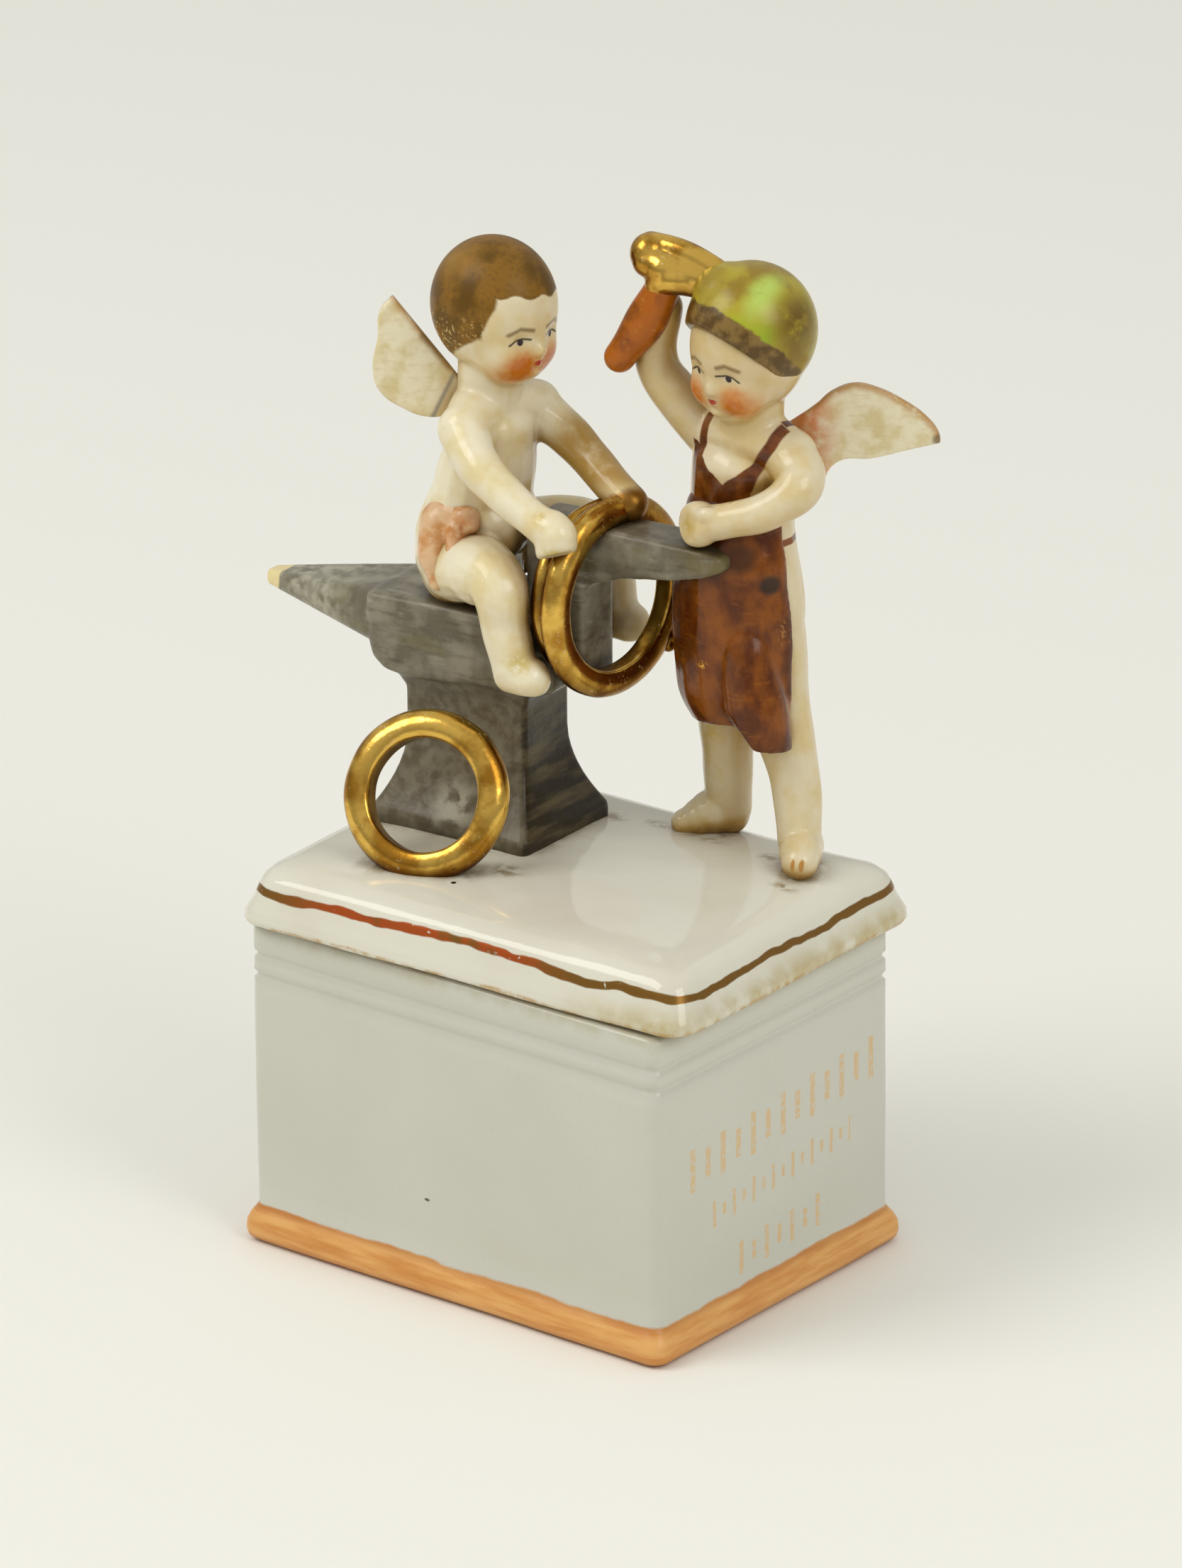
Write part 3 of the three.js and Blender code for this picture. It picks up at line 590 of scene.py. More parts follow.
def anvil_block():
    block = drawn("anvil_block", [
        (BLOCK_LEFT, BLOCK_DEPTH - 1, BLOCK_BOTTOM + 2.4, SEAT_HEIGHT - 0.3),
        (BLOCK_LEFT + 0.7, BLOCK_DEPTH, BLOCK_BOTTOM + 0.9, SEAT_HEIGHT),
        (BLOCK_LEFT + 2.2, BLOCK_DEPTH, BLOCK_BOTTOM - 0.4, SEAT_HEIGHT),
        (BLOCK_LEFT + 5, BLOCK_DEPTH, BLOCK_BOTTOM - 0.9, SEAT_HEIGHT),
        (BLOCK_RIGHT - 0.6, BLOCK_DEPTH, BLOCK_BOTTOM + 0.5, SEAT_HEIGHT),
        (BLOCK_RIGHT, BLOCK_DEPTH - 1.2, BLOCK_BOTTOM + 1.1, SEAT_HEIGHT - 0.6),
    ], corner=0.1)
    # the panel sunk in each side leaves a ledge under the seat
    ledge = SEAT_HEIGHT - PANEL_LEDGE
    bpy.ops.object.mode_set(mode="EDIT")
    bpy.ops.mesh.select_all(action="SELECT")
    for height in (ledge, ledge - 0.7):
        bpy.ops.mesh.bisect(plane_co=mm(0, 0, height), plane_no=(0, 0, 1))
        bpy.ops.mesh.select_all(action="SELECT")
    mesh = bmesh.from_edit_mesh(block.data)
    for vertex in mesh.verts:
        if vertex.co.z * 1000 < ledge - 0.35 and abs(vertex.co.y * 1000) > BLOCK_DEPTH / 2 - 1.7:
            vertex.co.y -= math.copysign(PANEL_SINK / 1000, vertex.co.y)
    bpy.ops.object.mode_set(mode="OBJECT")
    return block


def anvil_horn():
    sections = []
    steps = 7
    for step in range(steps + 1):
        share = step / steps
        along = BLOCK_LEFT + 1.5 + (HORN_TIP[0] - BLOCK_LEFT - 1.5) * share
        height = SEAT_HEIGHT - BLOCK_BOTTOM - 1.8
        height += (1.9 - height) * share ** 0.9
        width = BLOCK_DEPTH - 1.2 + (2.4 - BLOCK_DEPTH + 1.2) * share ** 1.15
        top = SEAT_HEIGHT - 0.2 + (HORN_TIP[1] + 1.2 - SEAT_HEIGHT) * share
        sections.append((along, width, top - height, top))
    return drawn("anvil_horn", sections, corner=0.32)


def anvil_heel():
    under = HEEL_TOP - HEEL_THICKNESS
    return drawn("anvil_heel", [
        (POST[0] + 0.6, HEEL_WIDTH, HEEL_TOP - 3, HEEL_TOP - 0.3),
        (POST[0] + 1.4, HEEL_WIDTH, HEEL_TOP - 6, HEEL_TOP),
        (POST[1] - 1, HEEL_WIDTH, HEEL_TOP - 9, HEEL_TOP),
        (POST[1] + 0.6, HEEL_WIDTH, HEEL_TOP - 7, HEEL_TOP),
        (POST[1] + 2.4, HEEL_WIDTH, under - 1.9, HEEL_TOP),
        (POST[1] + 5, HEEL_WIDTH, under - 1.0, HEEL_TOP),
        (HEEL_END - 6.5, HEEL_WIDTH, under, HEEL_TOP - 0.1),
        (HEEL_END - 2.6, HEEL_WIDTH - 0.5, under + 0.9, HEEL_TOP - 0.3),
        (HEEL_END - 0.5, HEEL_WIDTH - 1.8, under + 1.7, HEEL_TOP - 1),
        (HEEL_END, HEEL_WIDTH - 3, under + 2.2, HEEL_TOP - 1.7),
    ], corner=0.2)


def anvil_post():
    size = (POST[1] - POST[0], POST_WIDTH)
    post = stack("anvil_post", 0.8, [
        (*size, BLOCK_BOTTOM + 1.4), (*size, HEEL_TOP - 0.6), (size[0] - 1, size[1] - 1, HEEL_TOP),
    ], corner_steps=3, side_steps=1)
    return turned(post, 0, ((POST[0] + POST[1]) / 2, 0, 0))


def anvil_enamel():
    coat = Paint("anvil enamel", 0.36, 0.25)
    x, z = coat.parts["X"], coat.parts["Z"]
    blot = coat.noise(4.5, 4)
    ground = coat.lay((106, 99, 82), (142, 136, 118), coat.edge(blot, 0.38, 0.66))
    streaks = coat.noise(1.3, 3, (6, 3, 1), (0.2, 0.35, 0.2))
    ground = coat.lay(ground, (72, 62, 44), coat.edge(streaks, 0.5, 0.72), 0.6)
    pale = coat.noise(1.3, 3, stretch=(5, 2, 1))
    ground = coat.lay(ground, (178, 176, 160), coat.edge(pale, 0.58, 0.78), 0.6)
    moss = coat.noise(5, 3, stretch=(2, 2, 1))
    ground = coat.lay(ground, (104, 98, 50), coat.edge(moss, 0.54, 0.7), 0.5)
    low = coat.edge(z, 0.0685, 0.0665)
    brushed = coat.noise(1.5, 3, stretch=(1, 7, 1), turn=(0.7, 0, 0.1))
    neck = coat.lay((84, 72, 50), (118, 110, 90), coat.edge(brushed, 0.35, 0.65))
    ground = coat.lay(ground, neck, low, 0.75)
    # painted shade: the sides of the foot and neck that face right painted near black
    shaded = coat.both(low, coat.edge(coat.facing["X"], 0.3, 0.8))
    dark = coat.lay((40, 32, 18), (88, 76, 50), coat.edge(brushed, 0.38, 0.66))
    ground = coat.lay(ground, dark, shaded, 0.95)
    cloud = coat.broken((-15.5, -3.2, 53.5), (4.6, 4, 5), 0.8, (3.2, 4, 0.4, 0.56))
    ground = coat.lay(ground, (192, 188, 168), cloud, 0.9)
    horn = coat.edge(x, -0.028, -0.038)
    ground = coat.lay(ground, (172, 168, 148), coat.both(horn, coat.patches(1.6, 3, 0.3, 0.7)))
    tip = coat.spot((-47.2, 2.2, 74), (3.2, 4, 3), soft=0.15)
    ground = coat.lay(ground, (232, 214, 160), tip)
    # the heel's tip painted darker and greener brown
    darker_heel_tip = coat.broken((17.6, 8, 87.5), (9, 6, 4), 0.7, (2, 3, 0.25, 0.55))
    ground = coat.lay(ground, (104, 92, 50), darker_heel_tip, 0.8)
    # painted shade: dark brown in the creases and where the parts meet
    ground = coat.lay(ground, (58, 48, 30), coat.creases(2.2), 0.75)
    coat.link(ground, "Base Color")
    coat.link(coat.scaled(blot, 0.25, 0.16), "Roughness")
    coat.bump(coat.noise(1.4, 3), 0.08)
    return coat.material


deselect()
upper = [
    turned(make(), ANVIL_TURN, (*ANVIL_CENTRE, 0))
    for make in (anvil_block, anvil_horn, anvil_heel, anvil_post)
]
deselect()
anvil = fuse("anvil", [anvil_foot(), *upper], 0.3, 6)
anvil.data.materials.append(anvil_enamel())
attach(anvil, "root")
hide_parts("lid_with_figures")

# The rings: rolled coils of clay, flat inside and domed outside, gilt all over. Two hang on the
# heel, one behind the other, and a small one stands tilted on the lid. The gilding is amber where
# it lies thin and rubbed at the ridges, and a drip of it holds the front ring to the apron.
RINGS = {
    # centre, axis, radius of the inner wall, width along the axis, thickness
    "ring_front": ((0.6, 8.0, 79.9), (1, -0.06, 0.02), 8.9, 3.1, 3.4),
    "ring_back": ((-1.0, 9.1, 79.5), (1, -0.2, 0.1), 9.1, 2.7, 2.6),
    "ring_small": ((-13.0, -10.55, 57.25), (0.29, -0.87, 0.385), 6.75, 3.9, 3.5),
}
INNER_EDGE = 0.4
SECTION_POINTS = 28
SPIN_STEPS = 96
FULLNESS = 0.62


def gilding():
    coat = Paint("gilding", 0.2)
    thin = coat.noise(4.5, 3)
    ground = coat.lay((226, 184, 88), (164, 116, 38), coat.edge(thin, 0.4, 0.66))
    # painted shade: the undersides of the gilding painted dark brown
    ground = coat.lay(ground, (120, 70, 18), coat.edge(coat.facing["Z"], 0.1, -0.8), 0.6)
    worn = coat.noise(0.45, 5)
    rub = coat.both(coat.edge(worn, 0.58, 0.7), coat.patches(5, 2, 0.5, 0.62))
    ground = coat.lay(ground, (212, 196, 160), rub, 0.5)
    # painted shade: dark brown in the hollows, on the inner walls and where the rings touch
    ground = coat.lay(ground, (84, 44, 10), coat.creases(4), 0.85)
    coat.link(ground, "Base Color")
    coat.link(coat.math("SUBTRACT", 1, coat.both(rub, 0.7)), "Metallic")
    coat.link(coat.scaled(coat.edge(thin, 0.3, 0.8), 0.12, 0.17), "Roughness")
    coat.bump(coat.noise(1.2, 3), 0.04)
    return coat.material


def pick(piece, test):
    """Select the vertices whose place passes a test."""
    bpy.ops.mesh.select_all(action="DESELECT")
    mesh = bmesh.from_edit_mesh(piece.data)
    for vertex in mesh.verts:
        vertex.select = test(vertex.co)
    mesh.select_flush_mode()


def ring(name, centre, axis, inside, along, thick):
    # an oval section cut flat on its inner side, spun about the ring's axis
    reach = FULLNESS * thick
    middle = inside + thick - reach
    bpy.ops.mesh.primitive_circle_add(
        vertices=SECTION_POINTS, radius=0.001, fill_type="NGON", location=(0, 0, 0),
        rotation=(math.radians(90), 0, 0))
    piece = bpy.context.object
    piece.name = name
    bpy.ops.object.transform_apply()
    bpy.ops.object.mode_set(mode="EDIT")
    bpy.ops.transform.resize(value=(reach, 1, along / 2))
    bpy.ops.transform.translate(value=mm(middle, 0, 0))
    bpy.ops.mesh.select_all(action="SELECT")
    bpy.ops.mesh.bisect(plane_co=mm(inside, 0, 0), plane_no=(-1, 0, 0), clear_outer=True)
    pick(piece, lambda place: place.x < (inside + 0.02) / 1000)
    bpy.ops.mesh.bevel(offset=INNER_EDGE / 1000, segments=3, affect="VERTICES")
    bpy.ops.mesh.select_all(action="SELECT")
    bpy.ops.mesh.delete(type="ONLY_FACE")
    bpy.ops.mesh.select_all(action="SELECT")
    bpy.ops.mesh.spin(steps=SPIN_STEPS, angle=math.radians(360), center=(0, 0, 0), axis=(0, 0, 1))
    bpy.ops.mesh.select_all(action="SELECT")
    bpy.ops.mesh.remove_doubles(threshold=0.00001)
    bpy.ops.mesh.normals_make_consistent(inside=False)
    bpy.ops.object.mode_set(mode="OBJECT")
    waver(piece, 0.4, 8)
    modify(piece, "SUBSURF", levels=1, render_levels=1)
    piece.rotation_euler = Vector(axis).to_track_quat("Z", "Y").to_euler()
    piece.location = mm(*centre)
    bpy.ops.object.transform_apply()
    bpy.ops.object.shade_smooth()
    return piece


gold = gilding()
for name, sizes in RINGS.items():
    deselect()
    band = ring(name, *sizes)
    band.data.materials.append(gold)
    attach(band, "root")
    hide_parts("lid_with_figures")

# The seated putto: cast with stub feet and mitten hands, astride the block, bent a little forward,
# with both hands on the hanging rings. Ivory glaze, hair brushed on and rubbed away at its edge,
# a painted face, and yellow-brown stain and painted shade in every fold.
SEATED_HEAD = (-15.0, 5.6, 113.5)
SEATED_TURN = -7
SKIN_ROUGHNESS = 0.16


def mass(centre, radii, turn=0, lean=0, tilt=0):
    """An egg of clay: radii along X, Y and Z, leant about X, tilted about Y, then turned about Z."""
    deselect()
    bpy.ops.mesh.primitive_uv_sphere_add(
        segments=32, ring_count=20, radius=1, location=mm(*centre),
        rotation=[math.radians(angle) for angle in (lean, tilt, turn)], scale=mm(*radii))
    return bpy.context.object


def limb(joints, radii, wide=(1, 1, 1)):
    """A roll of clay through its joints, with a thickness at each and balls for ends."""
    deselect()
    bpy.ops.curve.primitive_bezier_curve_add(location=(0, 0, 0))
    roll = bpy.context.object
    roll.data.bevel_depth = 0.001
    roll.data.bevel_resolution = 6
    roll.data.resolution_u = 10
    roll.data.use_fill_caps = True
    spline = roll.data.splines[0]
    spline.radius_interpolation = "EASE"
    spline.bezier_points.add(len(joints) - len(spline.bezier_points))
    for point, joint, radius in zip(spline.bezier_points, joints, radii):
        point.co = mm(*joint)
        point.handle_left_type = point.handle_right_type = "AUTO"
        point.radius = radius
    bpy.ops.object.convert(target="MESH")
    ends = [mass(joints[k], [radii[k] * 0.99] * 3) for k in (0, -1)]
    choose(roll, *ends)
    bpy.ops.object.join()
    if wide != (1, 1, 1):
        middle = sum((mm(*joint) for joint in joints), Vector()) / len(joints)
        bpy.ops.object.mode_set(mode="EDIT")
        bpy.ops.mesh.select_all(action="SELECT")
        bpy.ops.transform.resize(value=wide, center_override=middle)
        bpy.ops.object.mode_set(mode="OBJECT")
    return roll


def cut(piece, place, normal):
    """Clay sliced off flat on the side that the normal points to."""
    choose(piece)
    bpy.ops.object.mode_set(mode="EDIT")
    bpy.ops.mesh.select_all(action="SELECT")
    bpy.ops.mesh.bisect(plane_co=mm(*place), plane_no=normal, clear_outer=True, use_fill=True)
    bpy.ops.object.mode_set(mode="OBJECT")
    return piece


def about(centre, turn, forward, left, up):
    """A point given from a centre along the way a head or body faces."""
    angle = math.radians(turn)
    return (
        centre[0] + forward * math.cos(angle) - left * math.sin(angle),
        centre[1] + forward * math.sin(angle) + left * math.cos(angle),
        centre[2] + up,
    )


def grab(piece, strokes):
    """Thumb strokes on the soft clay: (point, push, reach) each, in millimetres."""
    choose(piece)
    bpy.ops.object.mode_set(mode="EDIT")
    for point, push, reach in strokes:
        bpy.ops.mesh.select_all(action="DESELECT")
        mesh = bmesh.from_edit_mesh(piece.data)
        target = mm(*point)
        nearest = min(mesh.verts, key=lambda vertex: (vertex.co - target).length_squared)
        nearest.select_set(True)
        bpy.ops.transform.translate(
            value=mm(*push), use_proportional_edit=True,
            proportional_edit_falloff="SMOOTH", proportional_size=reach / 1000)
    bpy.ops.object.mode_set(mode="OBJECT")


def head(centre, turn, skull, jaw, jaw_radii):
    """Skull, jaw and full cheeks pressed together and rubbed smooth."""
    clay = [mass(centre, skull, turn), mass(about(centre, turn, *jaw), jaw_radii, turn)]
    for side in (-1, 1):
        cheek = about(centre, turn, jaw[0] + 0.6, side * 2.5, jaw[2] - 0.9)
        clay.append(mass(cheek, (3.1, 2.8, 3.0), turn))
    return fuse("head", clay, 0.35, 30)


def face_strokes(centre, turn, eye, nose, mouth):
    """Eye hollows, a button nose, a mouth and a chin: (forward, left, up) of one eye and the rest."""
    def at(forward, left, up):
        return about(centre, turn, forward, left, up)

    def push(forward, up=0.0):
        return about((0, 0, 0), turn, forward, 0, up)

    strokes = [(at(eye[0], side * eye[1], eye[2]), push(-0.45), 1.9) for side in (-1, 1)]
    strokes.append((at(nose[0], 0, nose[1]), push(0.7, -0.1), 1.25))
    strokes.append((at(nose[0], 0, nose[1] + 0.9), push(0.25), 1.2))
    strokes += [(at(nose[0], side * 0.6, nose[1] - 0.1), push(0.2), 0.6) for side in (-1, 1)]
    strokes.append((at(mouth[0], 0, mouth[1] + 0.3), push(0.3), 0.7))
    strokes.append((at(mouth[0], 0, mouth[1] - 0.45), push(0.25), 0.6))
    strokes.append((at(mouth[0], 0, mouth[1] - 1.3), push(-0.2), 0.9))
    strokes.append((at(mouth[0] - 0.2, 0, mouth[1] - 2.4), push(0.35), 1.4))
    return strokes


def seated_body():
    torso = limb(
        [(-18.6, 5.6, 80.5), (-18.4, 5.6, 84.5), (-16.6, 5.6, 92), (-15.4, 5.7, 98.6), (-15.4, 5.6, 102.2)],
        (5.6, 6.2, 5.3, 4.6, 2.8), (1, 1.3, 1))
    near_hand = fuse("hand", [
        mass((-0.3, -2.7, 90.9), (2.7, 2.4, 2.5)),
        limb([(0.6, -2.7, 90.4), (0.5, -2.7, 88.6)], (2.5, 2.5)),
    ], 0.3, 4)
    feet = []
    for heel, toe in (((-5.3, -3.4, 72.2), (-3.2, -3.2, 72.0)), ((-7.0, 18.4, 72.2), (-5.2, 18.5, 72.0))):
        ankle = (*heel[:2], heel[2] + 0.9)
        foot = fuse("foot", [limb([heel, toe], [2.6, 2.6]), mass(ankle, (2.7, 2.7, 3.0))], 0.3, 2)
        feet.append(cut(foot, (0, 0, 70.3), (0, 0, -1)))
    return [
        torso,
        *feet,
        cut(near_hand, (0.9, -2.9, 88.2), (0.42, -0.2, -0.88)),
        mass((-15.7, 5.6, 86.6), (5.1, 6.6, 5)),
        mass((-19.2, 2.2, 82.6), (4.3, 4.3, 4.8)),
        mass((-19.2, 9, 82.6), (4.3, 4.3, 4.8)),
        limb([(-15, -0.4, 99.6), (-15.6, 5.6, 101.2), (-13.4, 11.2, 99.8)], (3.1, 3.8, 3.1)),
        limb([(-15.8, 5.6, 100), (-15.2, 5.4, 107)], (3.9, 4.1)),
        limb(
            [(-14.9, -0.4, 99.4), (-11.4, -2.3, 96.6), (-7.2, -3, 94.2), (-3, -3, 92), (-0.6, -2.7, 90.8)],
            (3.1, 2.65, 2.4, 2.15, 2.3)),
        limb(
            [(-13.2, 11.2, 99.1), (-9.8, 12.3, 96.8), (-6, 12.3, 94.2), (-1.2, 10.9, 91.9), (1, 10.6, 90.7)],
            (3.1, 2.65, 2.4, 2.3, 2.3)),
        limb(
            [(-17.6, 1.4, 81.6), (-12, -1.4, 83), (-7.9, -3.1, 82.6), (-6.6, -3.3, 77.5), (-5.5, -3.3, 73.6)],
            (4.4, 4.2, 3.5, 2.95, 2.75)),
        limb(
            [(-18.6, 9.8, 81.6), (-13.6, 15.0, 83.0), (-9.2, 18, 82.4), (-8, 18.4, 77.5), (-7.2, 18.4, 73.4)],
            (4.4, 4.2, 3.4, 2.95, 2.75)),
    ]


def skin(name, tan):
    """Ivory glaze with painted shade, tan in the shade of a fold and on undersides, and brown stain with
    painted shade in its depth.
    """
    coat = Paint(name, SKIN_ROUGHNESS, 0.4)
    ground = coat.lay((238, 230, 202), (228, 211, 162), coat.patches(5, 3, 0.4, 0.68))
    # painted shade: tan on the undersides and in the shade of every fold, with tan laid evenly over the whole
    # figure
    under = coat.both(coat.edge(coat.facing["Z"], 0.5, -0.6), 0.45)
    shade = coat.math("ADD", coat.scaled(coat.creases(8, 12), 0.7, tan), under)
    ground = coat.lay(ground, (182, 146, 78), shade, 0.75)
    # yellow-brown stain and painted shade in the depth of every fold
    fold_stain_and_shade = coat.both(coat.creases(2.4, 12), coat.patches(1.6, 4, 0.2, 0.6))
    ground = coat.lay(ground, (132, 96, 42), fold_stain_and_shade, 0.8)
    freckle = coat.both(coat.patches(0.35, 3, 0.62, 0.74), coat.patches(5, 2, 0.5, 0.62))
    ground = coat.lay(ground, (190, 150, 84), freckle, 0.4)
    coat.bump(coat.noise(3, 2), 0.06)
    return coat, ground


def stroke(coat, place, points, width, soft=0.1):
    """A brush line through points, in the coordinates of place."""
    nearest = None
    for start, end in zip(points, points[1:]):
        start, end = Vector(start), Vector(end)
        along = end - start
        from_start = coat.vector("SUBTRACT", place, start)
        share = coat.vector("DOT_PRODUCT", from_start, along / along.length_squared)
        share = coat.node("ShaderNodeMath", {0: share, 1: 1}, operation="MULTIPLY", use_clamp=True).outputs[0]
        foot = coat.node("ShaderNodeVectorMath", {0: along, "Scale": share}, operation="SCALE").outputs[0]
        far = coat.vector("DISTANCE", from_start, foot)
        nearest = far if nearest is None else coat.math("MINIMUM", nearest, far)
    return coat.edge(nearest, width / 2 + soft, width / 2 - soft)


def face_front(coat, centre, turn):
    """Coordinates of a head, and the same flattened on its face with both halves alike."""
    parts = coat.split(coat.local(centre, turn))
    ahead = coat.edge(parts["X"], 2, 3.5)
    return parts, coat.flat(coat.math("ABSOLUTE", parts["Y"]), parts["Z"]), ahead


def dab(coat, flat, centre, radii, soft):
    """A dab of paint on the flattened face."""
    seat = coat.vector("SUBTRACT", flat, (*centre, 0))
    seat = coat.vector("MULTIPLY", seat, (1 / radii[0], 1 / radii[1], 1))
    return coat.edge(coat.vector("LENGTH", seat), 1, 1 - soft)


def painted_face(coat, ground, flat, ahead, marks):
    """Blush, brow, eye, lid and mouth brushed on, by (aside, up) from the middle of the head."""
    def brushed(ground, colour, amount, strength=1):
        return coat.lay(ground, colour, coat.both(amount, ahead), strength)

    aside, up = marks["eye"]

    def line(points):
        return [(aside + across, up + above, 0) for across, above in points]

    ground = brushed(ground, (190, 158, 88), dab(coat, flat, (0, -1), (11, 11), 0.3), 0.3)
    middle, size = marks["blush"], marks["blush_size"]
    blush = dab(coat, flat, middle, (size, size), 0.8)
    blush = coat.both(blush, coat.scaled(coat.noise(0.9, 5), 2.4, -0.25))
    wide = dab(coat, flat, middle, (size * 1.2, size * 1.2), 0.9)
    ground = brushed(ground, (206, 140, 66), wide, 0.95)
    ground = brushed(ground, (190, 106, 30), blush, marks["blush_strength"])
    ground = brushed(ground, (208, 204, 192), dab(coat, flat, (aside, up), (1.0, 0.4), 0.7), 0.5)
    ground = brushed(ground, (112, 84, 30), stroke(coat, flat, line(marks["brow"]), 0.5, 0.22), 0.8)
    ground = brushed(ground, (44, 34, 16), stroke(coat, flat, line(marks["lid"]), 0.26, 0.1), 0.95)
    ground = brushed(ground, (36, 18, 18), dab(coat, flat, (aside, up + 0.08), (0.46, 0.5), 0.35))
    ground = brushed(ground, (168, 34, 10), dab(coat, flat, (0, marks["mouth"]), (0.85, 0.5), 0.45), 0.95)
    return brushed(ground, (206, 120, 60), dab(coat, flat, (0, marks["mouth"] + 1.5), (0.4, 0.2), 0.7), 0.3)


SEATED_FACE = {
    "eye": (2.42, -2.75),
    "lid": ((1.35, -0.12), (0.6, 0.36), (-0.2, 0.5), (-1.15, 0.3)),
    "brow": ((1.5, 1.2), (0.3, 1.85), (-1.3, 1.45)),
    "mouth": -5.5,
    "blush": (2.3, -6.0),
    "blush_size": 2.9,
    "blush_strength": 1.15,
}


def seated_hair(coat, parts):
    # cut straight over the brow, with a short lock at each temple and a low nape
    forward, up = parts["X"], parts["Z"]
    ragged = coat.scaled(coat.noise(1.2, 4), 1.4, -0.7)
    scallop = coat.both(coat.math("SINE", coat.scaled(parts["Y"], 1.9, 0.6)), 0.22)
    fringe = coat.math("SUBTRACT", coat.math("ADD", up, coat.both(ragged, 0.3)), scallop)
    above = coat.edge(coat.scaled(parts["Y"], 0.12, fringe), 2.3, 2.6)
    lock = coat.node("ShaderNodeMapRange", {
        "Value": up, "From Min": 1.6, "From Max": -1.6, "To Min": 5.3, "To Max": 4.0}).outputs[0]
    temple = coat.math("ADD", lock, coat.both(ragged, 0.3))
    behind = coat.edge(coat.math("SUBTRACT", temple, forward), -0.2, 0.2)
    low = coat.node("ShaderNodeMapRange", {
        "Value": forward, "From Min": 3.4, "From Max": -1.5, "To Min": -2.2, "To Max": -5.4}).outputs[0]
    over = coat.edge(coat.math("SUBTRACT", coat.math("ADD", up, coat.both(ragged, 0.5)), low), -0.25, 0.35)
    return coat.math("MAXIMUM", above, coat.both(behind, over))


def stained(coat, ground, stains, colour, strength):
    """Glaze pooled at each (place, reach) and broken up as it dried."""
    for centre, reach in stains:
        pool = coat.broken(centre, [reach] * 3, 0.9, (0.8, 3, 0.2, 0.6))
        ground = coat.lay(ground, colour, pool, strength)
    return ground


def seated_paint():
    coat, ground = skin("seated skin", 0.0)
    parts, flat, ahead = face_front(coat, SEATED_HEAD, SEATED_TURN)
    ground = painted_face(coat, ground, flat, ahead, SEATED_FACE)
    tone = coat.lay((98, 70, 20), (134, 96, 34), coat.patches(4.5, 4, 0.4, 0.62))
    tone = coat.lay(tone, (92, 66, 40), coat.patches(0.5, 4, 0.5, 0.7), 0.45)
    # painted light: the top of the hair, on the side towards the key light, painted lighter amber
    light = coat.spot((-18.5, 0, 120.5), (6, 6, 4.5), soft=0.9)
    tone = coat.lay(tone, (184, 140, 66), light, 0.6)
    flecks = coat.both(coat.patches(0.42, 2, 0.58, 0.66), coat.edge(parts["Z"], 1.2, -1.8))
    tone = coat.lay(tone, (206, 176, 112), flecks, 0.85)
    hair = seated_hair(coat, parts)
    ground = coat.lay(ground, tone, hair)
    ground = stained(coat, ground, SEATED_STAINS, (200, 176, 84), 0.85)
    far_arm = coat.broken((-5.0, 12.6, 94.0), (10, 5.6, 7.5), 0.4, (3, 3, 0.0, 0.5))
    ground = coat.lay(ground, (176, 138, 62), far_arm, 0.95)
    gilt = coat.spot((1.6, 10.4, 90.4), (3.4, 3.8, 2.8), soft=0.25)
    ground = coat.lay(ground, (140, 98, 36), gilt)
    coat.link(coat.both(gilt, 0.8), "Metallic")
    coat.link(coat.scaled(coat.math("MAXIMUM", hair, gilt), 0.2, SKIN_ROUGHNESS), "Roughness")
    coat.link(coat.scaled(hair, -0.25, 0.4), "Specular IOR Level")
    coat.link(ground, "Base Color")
    return coat.material


SEATED_STAINS = (
    # yellow-brown glaze pooled at the ankle, the hand and its wrist, the elbow, the knee and the neck
    ((-3.2, -5.0, 74.4), 2.4), ((1.4, -4.4, 88.6), 2.0), ((-0.8, -4.2, 92.6), 1.2), ((-6.4, -5.0, 81.4), 1.8),
    ((-4.6, 12.4, 93.4), 3.4), ((-9.0, 12.0, 97.0), 2.8), ((-17.4, -1.6, 97.5), 2.6),
)
deselect()
seated_putto = fuse("seated_putto", [
    head(SEATED_HEAD, SEATED_TURN, (8.0, 7.2, 8.25), (3.2, 0, -3.9), (4.5, 5.6, 5.2)), *seated_body(),
], 0.25, 12)
grab(seated_putto, face_strokes(SEATED_HEAD, SEATED_TURN, (7.2, 2.4, -2.75), (7.9, -4.2), (7.7, -5.5)))
seated_putto.data.materials.append(seated_paint())
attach(seated_putto, "root")
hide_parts("lid_with_figures")

# The standing putto: cast with the weight on both feet, the left fist on the heel of the anvil and
# the right arm raised behind the hammer. Same ivory glaze and painted face, with the bib and
# straps of the apron painted straight on the skin.
STANDING_HEAD = (15.1, 15.2, 112)
STANDING_TURN = -97


